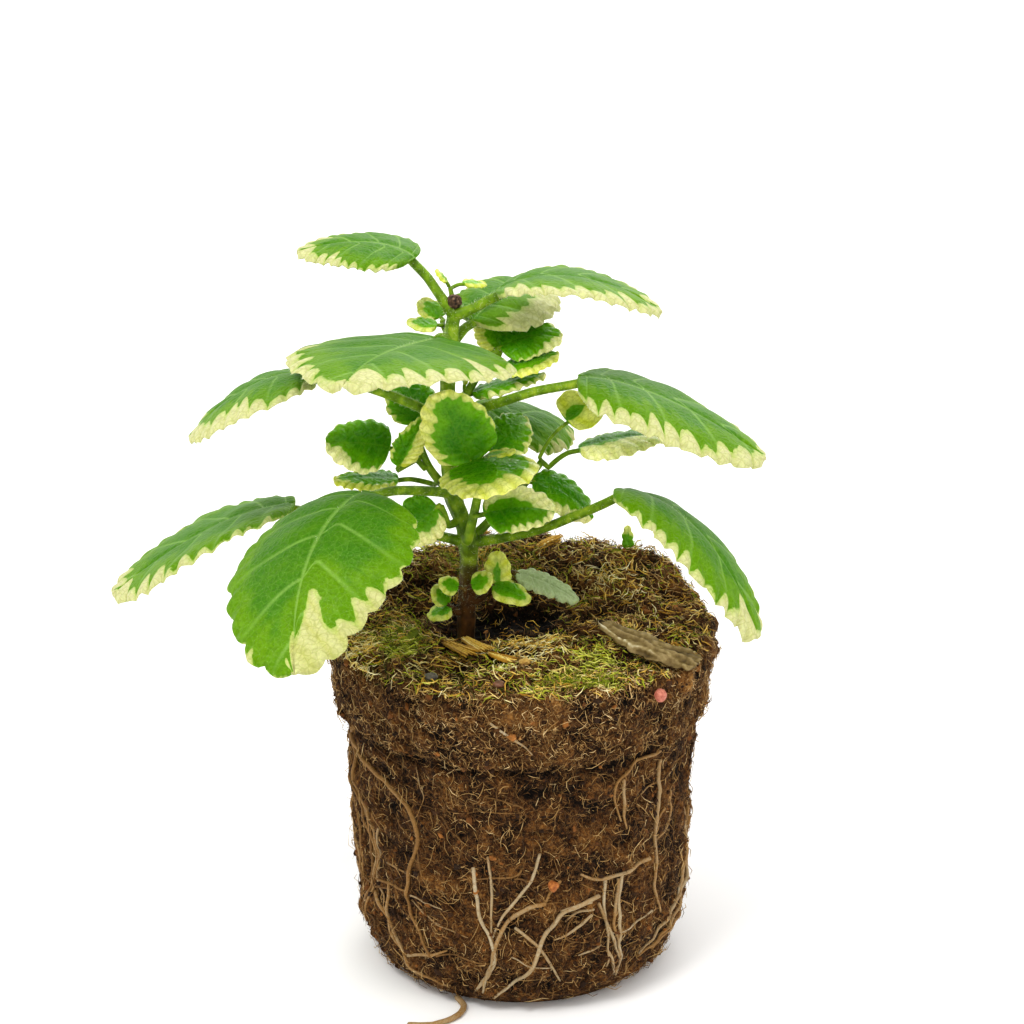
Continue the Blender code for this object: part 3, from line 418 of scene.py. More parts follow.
def leafMidline(leaf, steps=60):
    distances = np.linspace(0.0, leaf["stalk"] + leaf["length"], steps + 1)
    middles = (distances[1:] + distances[:-1]) / 2
    moves = heading(*leafAngles(leaf, middles)) * (distances[1] - distances[0])
    points = np.vstack([np.zeros(3), np.cumsum(moves, axis=0)]) + np.array(leaf["at"])
    return distances, points


def midlinePoint(leaf, distance):
    distances, points = leafMidline(leaf)
    return np.stack([np.interp(distance, distances, points[:, k]) for k in range(3)], axis=-1)


def bladeFrame(leaf, y):
    azimuth, pitch = leafAngles(leaf, leaf["stalk"] + np.maximum(y, 0.0))
    along = heading(azimuth, pitch)
    start = midlinePoint(leaf, leaf["stalk"])
    behind = np.minimum(y, 0.0)[:, None]
    origin = np.where(behind < 0, start + along * behind, midlinePoint(leaf, leaf["stalk"] + y))
    origin = origin + along * np.maximum(y - leaf["length"], 0.0)[:, None]
    a = np.radians(azimuth)
    side = np.stack([np.sin(a), -np.cos(a), np.zeros_like(a)], axis=-1)
    normal = np.cross(side, along)
    roll = math.radians(leaf["roll"])
    across = side * math.cos(roll) + normal * math.sin(roll)
    upward = normal * math.cos(roll) - side * math.sin(roll)
    return origin, along, across, upward


def bendLeaf(leaf, x, y, lift):
    # Flat points, x across and y along, taken onto the arched blade and lifted off it along its own normal
    origin, _, side, normal = bladeFrame(leaf, y)
    half = leaf["width"] / 2
    arch = math.radians(leaf["arch"]) or 1e-6
    share = np.abs(x) / half
    out = half * np.sin(arch * share) / arch
    down = half * (1 - np.cos(arch * share)) / arch
    sign = np.sign(x)
    tilt = arch * share
    local = normal * np.cos(tilt)[:, None] + side * (sign * np.sin(tilt))[:, None]
    return origin + side * (sign * out)[:, None] - normal * down[:, None] + local * lift[:, None], local


def marginCurve(leaf, teeth, depth, rows):
    # One side's margin with rounded teeth: x, y, the turn from base to tip, and the place within a tooth
    turn = np.linspace(0.0, math.pi, blade["marginTurns"])
    wide = np.sin(turn) ** 0.8 * (1 + leaf.get("ovate", 0.22) * np.cos(turn))
    x = leaf["width"] / 2 * wide / wide.max()
    y = leaf["length"] * (1 - np.cos(turn)) / 2
    arc = np.concatenate([[0.0], np.cumsum(np.hypot(np.diff(x), np.diff(y)))])
    arc /= arc[-1]
    spots = np.linspace(0.0, 1.0, rows + 2)[1:-1]
    outX, outY = np.gradient(y, arc), -np.gradient(x, arc)
    size = np.hypot(outX, outY)
    toothPlace = np.maximum((spots - blade["toothless"]) / (1 - blade["toothless"]) * teeth, 0.0)
    inTooth = toothPlace - np.floor(toothPlace)
    scallop = np.where(spots > blade["toothless"], np.abs(np.sin(np.pi * inTooth)) ** 0.55 - 0.5, 0.0)
    scallop *= 1 + 0.35 * np.sin(np.floor(toothPlace) * 2.3 + leaf["length"] * 900)
    push = scallop * depth * leaf["length"] / np.interp(spots, arc, size)
    edgeX = np.interp(spots, arc, x) + push * np.interp(spots, arc, outX)
    edgeY = np.interp(spots, arc, y) + push * np.interp(spots, arc, outY)
    return np.maximum(edgeX, 0.0), edgeY, np.interp(spots, arc, turn) / math.pi, inTooth, toothPlace


def creamShare(table, along):
    # The cream's reach inwards as a share of the half width: one number, or (place along, share) pairs
    if isinstance(table, (int, float)):
        return np.full_like(along, float(table)) * smooth(along / 0.22)
    return np.interp(along, [place for place, _ in table], [share for _, share in table])


def addBlade(bundle, leaf, size, seed, random):
    big = size == "big"
    rows, columns, teeth = (blade[size + part] for part in ("Rows", "Columns", "Teeth"))
    depth = blade["bigDepth" if big else "smallDepth"]
    edgeX, edgeY, along, inTooth, toothPlace = marginCurve(leaf, teeth, depth, rows)
    # Rows leave the midrib lower down than they meet the margin, as the side veins do
    midY = np.minimum(leaf["length"] * np.clip(along ** 1.85 * 1.02, 0.0, 1.0), edgeY)
    share = 1 - (1 - np.linspace(0.0, 1.0, columns + 1)) ** 1.25
    half = leaf["width"] / 2
    scale = leaf["length"] / blade["fullLength"]
    veins = blade["sideVeins" if big else "smallSideVeins"]
    signs = np.concatenate([-share[::-1], share[1:]])
    wide = len(signs)
    s = np.tile(signs, (rows, 1))
    x = s * edgeX[:, None]
    y = midY[:, None] + (edgeY - midY)[:, None] * np.abs(s) ** 1.12
    phase = along[:, None] * veins + np.where(s < 0, 0.5, 0.0) * smooth(np.abs(s) * 6)
    creamPlus, creamMinus = (creamShare(table, along)[:, None] for table in leaf["cream"])
    # Cream fills the teeth, each with its own share, and green runs out between them; a wide patch evens out
    uneven = noiseAt(np.stack([toothPlace, np.full(rows, seed * 3.1), np.zeros(rows)], axis=1), 1.7, 4.0)
    lobePlace = np.maximum(toothPlace * blade[size + "Lobes"] + 0.55 * uneven * smooth(toothPlace), 0.0)
    inLobe = lobePlace - np.floor(lobePlace)
    most = int(teeth * blade[size + "Lobes"]) + 4
    own = random.uniform(0.35, 1.55, (2, most)) * np.where(random.random((2, most)) > 0.15, 1.0, 0.3)
    lobe = (0.12 + 0.88 * np.abs(np.sin(np.pi * inLobe)) ** 0.6)[:, None]
    lobes = lobe * own[:, lobePlace.astype(int)].T[:, np.where(signs > 0, 1, 0)]
    cream = np.where(s > 0, creamPlus, creamMinus)
    cream = cream * (lobes + (1 - lobes) * smooth((cream - 0.2) / 0.3))
    rowLength = np.hypot(edgeX, edgeY - midY)[:, None]
    fromMargin = (1 - np.abs(s)) * rowLength * 0.9 / mm
    reach = fromMargin - cream * half / mm
    # Separate patches: (across, along, half width, half length, whether green) in shares of the leaf
    for place, spot, wideShare, longShare, isGreen in leaf.get("patches", ()):
        apart = np.hypot((s - place) / wideShare, (along[:, None] - spot) / longShare) - 1
        apart = apart * wideShare * half / mm
        reach = np.maximum(reach, -apart) if isGreen else np.minimum(reach, apart)
    # Relief: pillows between the side veins, a sunk midrib, teeth that puff up and an edge that turns down
    pillow = np.abs(np.sin(np.pi * phase)) ** 0.7 * smooth(np.abs(s) * 5) * (1 - np.abs(s) ** 6)
    lift = blade["quilt"] * scale ** 0.5 * (pillow - 0.5) * (0.6 if not big else 1.0)
    lift -= blade["midGroove"] * scale * np.exp(-(s * half / (0.9 * mm * max(scale, 0.35))) ** 2)
    nearMargin = smooth((np.abs(s) - (0.68 if big else 0.5)) / 0.25)
    bulge = (np.abs(np.sin(np.pi * inLobe)) ** 0.8)[:, None]
    puff = bulge * nearMargin
    lift += blade["puff"] * scale ** (0.7 if big else 0.3) * (puff - 0.4) * nearMargin * smooth(
        (along[:, None] - 0.15) / 0.1)
    lift -= blade["edgeDrop"] * scale * np.abs(s) ** 8
    flatPoints = np.stack([x, y, np.full_like(x, seed * 10 * mm)], axis=-1).reshape(-1, 3)
    wave = noiseAt(flatPoints, 9 * mm * max(scale, 0.4), seed) * smooth(np.abs(x.ravel()) / (0.3 * half))
    lift = lift.ravel() + blade["waver"] * scale * wave * 2
    thin = 1 - 0.62 * np.abs(s.ravel()) ** 7
    thickness = blade["thickness"] * (1.0 if big else blade["smallThickness"])
    top, local = bendLeaf(leaf, x.ravel(), y.ravel(), lift + thickness / 2 * thin)
    bottom, _ = bendLeaf(leaf, x.ravel(), y.ravel(), lift - thickness / 2 * thin)
    ends, _ = bendLeaf(leaf, np.zeros(2), np.array([0.0, leaf["length"] * (1 + 0.3 * depth)]), np.zeros(2))
    grid = np.stack([s, phase, np.full_like(s, min(1.0, max(scale, 0.22)))], axis=-1).reshape(-1, 3)
    flat = np.stack([x / mm, y / mm, np.full_like(x, seed * 13.7)], axis=-1).reshape(-1, 3)
    # The rows run from base to tip and the columns from the minus side to the plus side
    quad = gridFaces(rows, wide, False)
    baseEnd, tipEnd = rows * wide, rows * wide + 1
    k = np.arange(wide - 1)
    last = (rows - 1) * wide + k
    fans = np.vstack([np.stack([np.full(wide - 1, baseEnd), k + 1, k], axis=1),
                      np.stack([np.full(wide - 1, tipEnd), last, last + 1], axis=1)])
    endGrid = np.array([[0.0, 0.0, grid[0, 2]], [0.0, veins, grid[0, 2]]])
    endFlat = np.array([[0.0, 0.0, seed * 13.7], [0.0, leaf["length"] / mm, seed * 13.7]])
    endReach = np.array([reach[0, wide // 2], -max(creamPlus[-1, 0], creamMinus[-1, 0]) * half / mm])
    # Painted light on the lobes: the cream is whitest on a lobe's bulge, a painted highlight, and yellower in
    # the grooves, painted shade
    age = leaf.get("age", 0.0)
    shade = age + 0.5 * (0.6 - bulge) * np.ones((1, wide))
    shade = np.clip(np.concatenate([shade.ravel(), [age] * 2]), 0, 1)
    upper, lower = np.vstack([top, ends]), np.vstack([bottom, ends])
    common = dict(leafGrid=np.vstack([grid, endGrid]), leafFlat=np.vstack([flat, endFlat]),
                  leafReach=np.concatenate([reach.ravel(), endReach]), shade=shade)
    addPart(bundle, upper, [quad[:, ::-1], fans[:, ::-1]], upperSide, **common)
    addPart(bundle, lower, [quad, fans], underside, **common)
    # The rim closes the two skins
    rimA = np.concatenate([[baseEnd], np.arange(rows) * wide, [tipEnd]])
    rimB = np.concatenate([[baseEnd], np.arange(rows) * wide + wide - 1, [tipEnd]])
    shift = len(upper)
    strips = [np.stack([rim[:-1], rim[1:], rim[1:] + shift, rim[:-1] + shift], axis=1)
              for rim in (rimA[::-1], rimB)]
    addPart(bundle, np.vstack([upper, lower]), strips, upperSide,
            **{label: np.concatenate([field] * 2) for label, field in common.items()})
    # Hairs stand out round the margin
    edge = top.reshape(rows, wide, 3)
    inner, outer = edge[:, [1, -2]], edge[:, [0, -1]]
    count = int(stalk["marginHairs"] * leaf["length"] / mm)
    row = random.integers(1, rows, count)
    which = random.integers(0, 2, count)
    mix = random.random(count)[:, None]
    roots = outer[row, which] * mix + outer[row - 1, which] * (1 - mix)
    roots = roots - (local.reshape(rows, wide, 3)[row, which * (wide - 1)]) * thickness * 0.2
    away = unit(outer[row, which] - inner[row, which])
    away = unit(away + random.normal(scale=0.45, size=(count, 3)))
    lengths = stalk["hairLength"] * random.uniform(0.35, 0.85, count) * (1.0 if big else stalk["smallHairs"])
    addHairs(bundle, roots, away, lengths, stalk["hairRadius"], hairFinish, random)


def addStalk(bundle, leaf, size, random, first=None):
    big = size == "big"
    thick = stalk["radius" if big else "smallRadius"]
    thin = stalk["tip" if big else "smallTip"]
    if size == "tiny":
        thick, thin = thick * stalk["tinyThick"], thin * stalk["tinyThin"]
    reach = leaf["length"] * stalk["ribShare" if big else "smallRibShare"]
    steps = max(3, int(leaf["stalk"] / (0.7 * mm)))
    distances = np.concatenate([np.linspace(0.0, leaf["stalk"], steps, endpoint=False),
                                leaf["stalk"] + np.linspace(0.0, reach, max(6, int(reach / (1.4 * mm))))])
    radii = np.interp(distances, [0.0, leaf["stalk"], leaf["stalk"] + reach], [thick, thick * 0.9, thin])
    if big:
        radii = radii * (1 + stalk["foot"] * np.exp(-(distances / stalk["footReach"]) ** 2))
    _, _, _, normal = bladeFrame(leaf, distances - leaf["stalk"])
    under = smooth((distances - leaf["stalk"] * 0.6) / (leaf["stalk"] * 0.4 + 2 * mm))
    route = midlinePoint(leaf, distances) - normal * (np.maximum(radii - stalk["bite"], 0.0) * under)[:, None]
    if first is not None and np.linalg.norm(route[0] - first) > 0.3 * mm:
        route = np.vstack([first, (first + route[0]) / 2, route])
        radii = np.concatenate([[thick, thick], radii])
    sides = stalk["sides" if big else "smallSides"]

    def grooved(turn):
        # A shallow groove along the upper side
        off = turn - np.where(turn > np.pi, 2 * np.pi, 0)
        return 1 - 0.16 * np.exp(-(off / 0.5) ** 2) + 0.03 * np.cos(4 * turn)

    points, faces = tubePart(route, radii, sides, grooved, normal[0])
    addPart(bundle, points, faces, stalkFinish)
    span = leaf["stalk"] + reach * 0.5
    count = int(stalk["hairsPerMm"] * span / mm * (1.0 if big else 0.5))
    along, one, two = routeFrames(route, normal[0])
    pick = random.uniform(0, np.sum(distances < span) - 1, count)
    low = pick.astype(int)
    mix = (pick - low)[:, None]
    centre = route[low] * (1 - mix) + route[low + 1] * mix
    angle = random.uniform(0, 2 * np.pi, count)
    away = one[low] * np.cos(angle)[:, None] + two[low] * np.sin(angle)[:, None]
    roots = centre + away * (radii[low] * 0.93)[:, None]
    directions = unit(away + along[low] * 0.25 + random.normal(scale=0.25, size=(count, 3)))
    lengths = stalk["hairLength"] * random.uniform(0.5, 1.1, count) * (1.0 if big else stalk["smallHairs"])
    addHairs(bundle, roots, directions, lengths, stalk["hairRadius"], hairFinish, random)


# Leaf rows: directions in degrees and sizes in metres, named in leafColumns
leafColumns = ("azimuth", "stalk", "rise", "pitch", "length", "width", "droop", "arch", "roll", "swing")


def leafRow(*values, **more):
    return dict(zip(leafColumns, values), **more)


# Big leaves in the order of their stalks up the stem, with the height on the stem
# and where the cream reaches in from each margin
bigLeaves = {
    "leaf_base_left": leafRow(179, 0.0385, 14, 12, 0.0450, 0.0345, 50, 0, -8, 21, height=0.097,
        droopPower=0.35, ovate=0.1,
        cream=([(0, 0), (0.35, 0.05), (0.6, 0.12), (1, 0.25)],
               [(0, 0), (0.3, 0.06), (0.5, 0.16), (0.8, 0.24), (1, 0.35)])),
    "leaf_base_right": leafRow(-8, 0.0365, 10, 37, 0.0465, 0.0295, 101, 23, 17, -33, height=0.097,
        stalkSwing=-8, droopPower=0.35, ovate=0.45,
        cream=([(0, 0), (0.12, 0.06), (0.3, 0.15), (0.6, 0.17), (0.8, 0.32), (1, 0.8)],
               [(0, 0), (0.4, 0.03), (0.75, 0.08), (1, 0.3)])),
    "leaf_front_left": leafRow(-130, 0.0300, 18, 12, 0.0495, 0.0425, 58, 25, -11, 48, height=0.1085,
        droopPower=0.35, ovate=0.38,
        cream=([(0, 0), (0.33, 0), (0.38, 0.1), (0.43, 0), (0.72, 0), (0.78, 0.12), (0.83, 0), (1, 0.05)],
               [(0, 0), (0.38, 0.02), (0.5, 0.07), (0.6, 0.14), (0.7, 0.22), (0.78, 0.4), (0.84, 0.9),
                (1, 1.0)]),
        patches=[(-0.38, 0.80, 0.19, 0.09, False), (-0.62, 0.735, 0.17, 0.045, True),
                 (0.04, 0.95, 0.17, 0.07, False), (-0.08, 0.845, 0.12, 0.05, True),
                 (0.42, 0.955, 0.10, 0.03, False)],
        age=0.4),
    "leaf_back_right": leafRow(50, 0.0185, 43, 30, 0.0285, 0.0240, 62, 30, -20, 20, height=0.1085,
        droopPower=0.5, cream=(0.2, 0.2)),
    "leaf_side_left": leafRow(201, 0.0320, 31, 18, 0.0310, 0.035, 69, 14, -10, -2, height=0.125,
        stalkSwing=-8, droopPower=0.6,
        cream=([(0, 0), (0.3, 0.15), (1, 0.25)], [(0, 0), (0.3, 0.2), (0.6, 0.3), (1, 0.4)])),
    "leaf_side_right": leafRow(-9, 0.0305, 22, 20, 0.0440, 0.0335, 56, 20, 1, -2, height=0.125,
        droopPower=0.35, ovate=0.2,
        cream=([(0, 0), (0.15, 0.1), (0.3, 0.26), (0.7, 0.3), (1, 0.3)], [(0, 0), (0.4, 0.08), (1, 0.2)])),
    "leaf_front": leafRow(-119, 0.0070, 44, 8, 0.0455, 0.049, 18, 13, -1, 13, height=0.142, droopPower=2.5,
        ovate=0.45,
        cream=([(0, 0.02), (0.25, 0.14), (0.5, 0.2), (0.8, 0.26), (1, 0.3)],
               [(0, 0.02), (0.25, 0.18), (0.5, 0.24), (0.8, 0.28), (1, 0.3)])),
    "leaf_back": leafRow(44, 0.0075, 32, 32, 0.0360, 0.023, 57, 30, -8, 55, height=0.142, droopPower=0.75,
        cream=([(0, 0.1), (0.3, 0.45), (0.7, 0.6), (1, 0.6)], [(0, 0), (0.3, 0.12), (1, 0.3)])),
    "leaf_top_left": leafRow(163, 0.0145, 52, 56, 0.0260, 0.025, 73, 15, 2, 25, height=0.1485,
        droopPower=0.35,
        cream=([(0, 0), (0.3, 0.1), (1, 0.3)], [(0, 0), (0.25, 0.12), (0.6, 0.22), (1, 0.4)])),
    "leaf_top_right": leafRow(-6, 0.0110, 18, 43, 0.0370, 0.026, 78, 3, 4, 0, height=0.1485, droopPower=0.6,
        cream=([(0, 0.1), (0.2, 0.28), (0.5, 0.34), (0.8, 0.3), (1, 0.35)],
               [(0, 0.05), (0.4, 0.16), (1, 0.3)]))}

# Side shoots: the route and radius of the stem, then its small leaves, each with the place of its foot
shoots = {
    "shoot_front": dict(
        route=[(-0.0116, -0.0038, 0.0990), (-0.0103, -0.0054, 0.1050), (-0.0092, -0.0058, 0.1110),
               (-0.0086, -0.0058, 0.1175)],
        radius=0.0011, leaves=[
            leafRow(-85, 0.0015, 21, 5, 0.0175, 0.0215, 30, 13, -10, -31, at=(-0.0072, -0.0060, 0.1185),
                cream=([(0, 0.05), (0.3, 0.3), (1, 0.42)], [(0, 0.05), (0.3, 0.3), (1, 0.42)]), age=0.75),
            leafRow(180, 0.0020, 62, 63, 0.0170, 0.0160, -5, 12, 100, 0, at=(-0.0096, -0.0070, 0.1160),
                cream=([(0, 0), (0.4, 0.06), (1, 0.3)], [(0, 0.1), (0.4, 0.36), (1, 0.36)]), age=0.7),
            leafRow(50, 0.0020, 31, 34, 0.0140, 0.0105, 29, 15, -29, 21, at=(-0.0070, -0.0045, 0.1175),
                cream=(0.3, 0.12), age=0.5),
            leafRow(-15, 0.0010, 40, 25, 0.0070, 0.0055, 20, 20, -10, 0, at=(-0.0086, -0.0058, 0.1180),
                cream=(0.7, 0.7), age=1.0),
            leafRow(6, 0.0020, -1, 19, 0.0155, 0.0125, 37, 5, -33, -6, at=(-0.0100, -0.0065, 0.1055),
                cream=(0.2, 0.62), age=0.2)]),
    "shoot_right": dict(
        route=[(-0.0094, 0.0010, 0.0990), (-0.0040, 0.0022, 0.1045), (0.0010, 0.0038, 0.1095),
               (0.0045, 0.0062, 0.1135)],
        radius=0.0010, leaves=[
            leafRow(-6, 0.0020, 8, -4, 0.0160, 0.0120, 59, 21, -25, 2, at=(0.0005, 0.0030, 0.1100),
                cream=([(0, 0.05), (0.5, 0.4), (1, 0.4)], 0.03), age=0.3),
            leafRow(16, 0.0100, 63, 40, 0.0085, 0.0130, 18, -11, -19, 23, at=(0.0040, 0.0060, 0.1145),
                cream=(0.75, 0.6), age=0.9),
            leafRow(-1, 0.0080, 47, 22, 0.0190, 0.0140, 26, 25, -4, -3, at=(0.0060, 0.0065, 0.1120),
                cream=(0.75, 0.3), age=0.25)]),
    "shoot_left": dict(
        route=[(-0.0172, 0.0016, 0.1100), (-0.0200, 0.0024, 0.1135), (-0.0220, 0.0026, 0.1185)],
        radius=0.0010, leaves=[
            leafRow(115, 0.0030, 60, 55, 0.0135, 0.0125, 28, 14, 3, 10, at=(-0.0210, 0.0034, 0.1200),
                cream=(0.22, 0.12), age=0.6),
            leafRow(-12, 0.0010, 60, 69, 0.0125, 0.0065, 14, -16, -119, -4, at=(-0.0268, -0.0012, 0.1140),
                cream=(0.95, 0.2), age=0.7),
            leafRow(174, 0.0090, 53, 10, 0.0140, 0.0135, 15, 17, 42, 4, at=(-0.0210, 0.0015, 0.1135),
                cream=(0.03, [(0, 0), (0.35, 0.25), (0.8, 0.45), (1, 0.2)]), age=0.1),
            leafRow(186, 0.0080, 19, 6, 0.0140, 0.0095, 12, 14, 8, 1, at=(-0.0190, 0.0040, 0.1090),
                cream=(0.3, 0.4), age=0.9)]),
    "shoot_low_left": dict(
        route=[(-0.0158, -0.0024, 0.1020), (-0.0166, -0.0032, 0.1045), (-0.0173, -0.0036, 0.1066)],
        radius=0.0009, leaves=[
            leafRow(178, 0.0008, -20, -38, 0.0115, 0.0110, 20, 13, 80, 0, at=(-0.0174, -0.0036, 0.1068),
                cream=(0.03, 0.5), age=0.3)]),
    "shoot_upper_right": dict(
        route=[(-0.0140, 0.0018, 0.1275), (-0.0110, 0.0040, 0.1310), (-0.0078, 0.0052, 0.1365),
               (-0.0050, 0.0055, 0.1390)],
        radius=0.0010, leaves=[
            leafRow(109, 0.0010, 60, 47, 0.0110, 0.0080, 38, 32, 21, 20, at=(-0.0045, 0.0055, 0.1380),
                cream=(0.05, 0.6), age=0.8),
            leafRow(9, 0.0010, 20, 34, 0.0140, 0.0120, 52, 13, -27, -9, at=(-0.0055, 0.0055, 0.1390),
                cream=([(0, 0), (0.5, 0.1), (1, 0.5)], [(0, 0), (0.6, 0.05), (1, 0.3)]), age=0.2),
            leafRow(-13, 0.0010, 10, 17, 0.0120, 0.0100, 6, 24, -11, 6, at=(-0.0045, 0.0035, 0.1360),
                cream=(0.4, 0.1), age=0.8),
            leafRow(3, 0.0020, 20, 25, 0.0165, 0.0100, 22, 21, 0, -4, at=(-0.0125, 0.0040, 0.1290),
                cream=(0.25, 0.25), age=0.3),
            leafRow(80, 0.0010, 85, 85, 0.0075, 0.0045, 5, 15, 70, 0, at=(-0.0123, 0.0030, 0.1310),
                cream=(0.6, 0.6), age=1.0)]),
    "shoot_upper_left": dict(
        route=[(-0.0158, 0.0021, 0.1435), (-0.0166, 0.0026, 0.1450), (-0.0170, 0.0024, 0.1465)],
        radius=0.0007, leaves=[
            leafRow(184, 0.0012, 10, 11, 0.0065, 0.0055, 12, 18, 17, 1, at=(-0.0168, 0.0010, 0.1458),
                cream=(0.35, 0.4), age=0.7),
            leafRow(140, 0.0010, 30, 35, 0.0065, 0.0065, 20, 16, 15, -1, at=(-0.0166, 0.0038, 0.1462),
                cream=(0.35, 0.4), age=0.7)]),
    "shoot_foot_front": dict(
        route=[(-0.0122, -0.0024, 0.0850), (-0.0122, -0.0040, 0.0865), (-0.0122, -0.0045, 0.0880)],
        radius=0.0007, leaves=[
            leafRow(-177, 0.0010, 21, 21, 0.0045, 0.0050, 16, 18, 37, 0, at=(-0.0127, -0.0046, 0.0879),
                cream=(0.4, 0.4), age=0.8),
            leafRow(-7, 0.0010, 21, 27, 0.0050, 0.0060, 7, 17, -39, 0, at=(-0.0117, -0.0043, 0.0882),
                cream=(0.4, 0.4), age=0.8)]),
    "shoot_foot_left": dict(
        route=[(-0.0142, -0.0014, 0.0810), (-0.0150, -0.0020, 0.0820), (-0.0152, -0.0020, 0.0830)],
        radius=0.0007, leaves=[
            leafRow(167, 0.0010, 51, 56, 0.0050, 0.0050, 16, 20, 34, 3, at=(-0.0155, -0.0020, 0.0825),
                cream=(0.4, 0.4), age=0.8),
            leafRow(-159, 0.0010, 11, -4, 0.0055, 0.0060, 31, 18, 14, -9, at=(-0.0145, -0.0020, 0.0825),
                cream=(0.4, 0.4), age=0.8)]),
    "shoot_foot_right": dict(
        route=[(-0.0098, -0.0010, 0.0835), (-0.0076, -0.0016, 0.0855), (-0.0060, -0.0016, 0.0870)],
        radius=0.0007, leaves=[
            leafRow(93, 0.0010, 70, 68, 0.0075, 0.0060, 11, 21, 1, 4, at=(-0.0050, -0.0015, 0.0865),
                cream=(0.85, 0.7), age=0.9),
            leafRow(-23, 0.0010, 11, 0, 0.0090, 0.0070, 38, 18, -21, 6, at=(-0.0070, -0.0015, 0.0875),
                cream=(0.4, 0.4), age=0.8)]),
    "leaf_old": dict(
        route=[(-0.0097, 0.0014, 0.0855), (-0.0060, 0.0028, 0.0880), (-0.0020, 0.0026, 0.0890)],
        radius=0.0006, leaves=[
            leafRow(-12, 0.0010, 0, -10, 0.0150, 0.0064, 22, 16, -20, -5, at=(-0.0020, 0.0026, 0.0890),
                cream=(0.08, 0.08), age=0.0)]),
    "tip_leaves": dict(
        route=[(-0.0148, 0.0022, 0.1520), (-0.0152, 0.0026, 0.1538)], radius=0.0006, leaves=[
            leafRow(175, 0.0010, 70, 60, 0.0036, 0.0035, 30, 30, 0, 0, at=(-0.0154, 0.0026, 0.1540),
                cream=(0.6, 0.6), age=1.0),
            leafRow(25, 0.0030, 25, 5, 0.0055, 0.0040, 30, 20, -10, 0, at=(-0.0150, 0.0028, 0.1535),
                cream=(0.6, 0.6), age=0.9)])}


# Main stem: the solid one's route and radii, with squared sides, ribs at the corners and rings at the nodes
mainStem = dict(
    route=[(-0.0122, 0.000, 0.064), (-0.0121, 0.000, 0.078), (-0.0116, 0.000, 0.0970),
           (-0.0150, 0.000, 0.1090),
           (-0.0160, 0.000, 0.125), (-0.0152, 0.000, 0.142), (-0.0142, 0.000, 0.1495)],
    radii=[1.9 * mm, 1.9 * mm, 1.8 * mm, 1.7 * mm, 1.6 * mm, 1.5 * mm, 1.3 * mm],
    nodes=[0.097, 0.1085, 0.125, 0.142], swelling=0.22, nodeReach=2.2 * mm, step=0.6 * mm, sides=28,
    swayDepth=0.15 * mm, swayLength=6 * mm, hairs=1900)
shootStem = dict(step=0.5 * mm, sides=12, inward=0.7, thickest=1.1, thinnest=0.75, hairsPerStep=7)
scar = dict(centre=(-0.0142, 0.0, 0.1514), radius=1.6 * mm, rings=26, sides=30, hairs=90)


def stemPoint(height):
    route = np.array(mainStem["route"])
    return np.array([np.interp(height, route[:, 2], route[:, k]) for k in range(3)])


def stemRadius(height):
    plain = np.interp(height, [point[2] for point in mainStem["route"]], mainStem["radii"])
    near = max(math.exp(-((height - node) / mainStem["nodeReach"]) ** 2) for node in mainStem["nodes"])
    return plain * (1 + mainStem["swelling"] * near)


def makeStem():
    random = np.random.default_rng(11)
    bundle = newBundle()
    route = smoothRoute(mainStem["route"], mainStem["step"])
    route[:, 1] += mainStem["swayDepth"] * np.sin(route[:, 2] / mainStem["swayLength"])
    radii = np.array([stemRadius(z) for z in route[:, 2]])

    def squared(turn):
        return 1 + 0.09 * np.cos(4 * (turn + 0.3)) + 0.025 * np.cos(12 * turn)

    def uneven(count, turn):
        return 1 + 0.07 * roundNoise(count, turn, step=0.6, reach=2, size=2.2, seed=3.0)

    addPart(bundle, *tubePart(route, radii, mainStem["sides"], squared, (0, 1, 0), uneven))
    count = mainStem["hairs"]
    low = random.integers(int(len(route) * 0.2), len(route) - 1, count)
    angle = random.uniform(0, 2 * np.pi, count)
    away = np.stack([np.cos(angle), np.sin(angle), np.zeros(count)], axis=1)
    roots = route[low] + away * (radii[low] * 0.95)[:, None]
    roots[:, 2] += random.uniform(-0.3, 0.3, count) * mm
    directions = unit(away + random.normal(scale=0.25, size=(count, 3)))
    addHairs(bundle, roots, directions, stalk["hairLength"] * random.uniform(0.4, 0.9, count),
             stalk["hairRadius"], 1, random)
    finishPiece(bundle, "squareStem", "main_stem", [stalkSkin, hairSkin])


def makeBigLeaf(name, leaf, seed):
    random = np.random.default_rng(100 + seed)
    leaf["at"] = tuple(stemPoint(leaf["height"]))
    bundle = newBundle()
    addBlade(bundle, leaf, "big", seed, random)
    addStalk(bundle, leaf, "big", random)
    finishPiece(bundle, "matureLeaf" + joinWords(name.partition("_")[2]), name,
                [*leafSkins["matureLeafSkin"], stalkSkin, hairSkin])


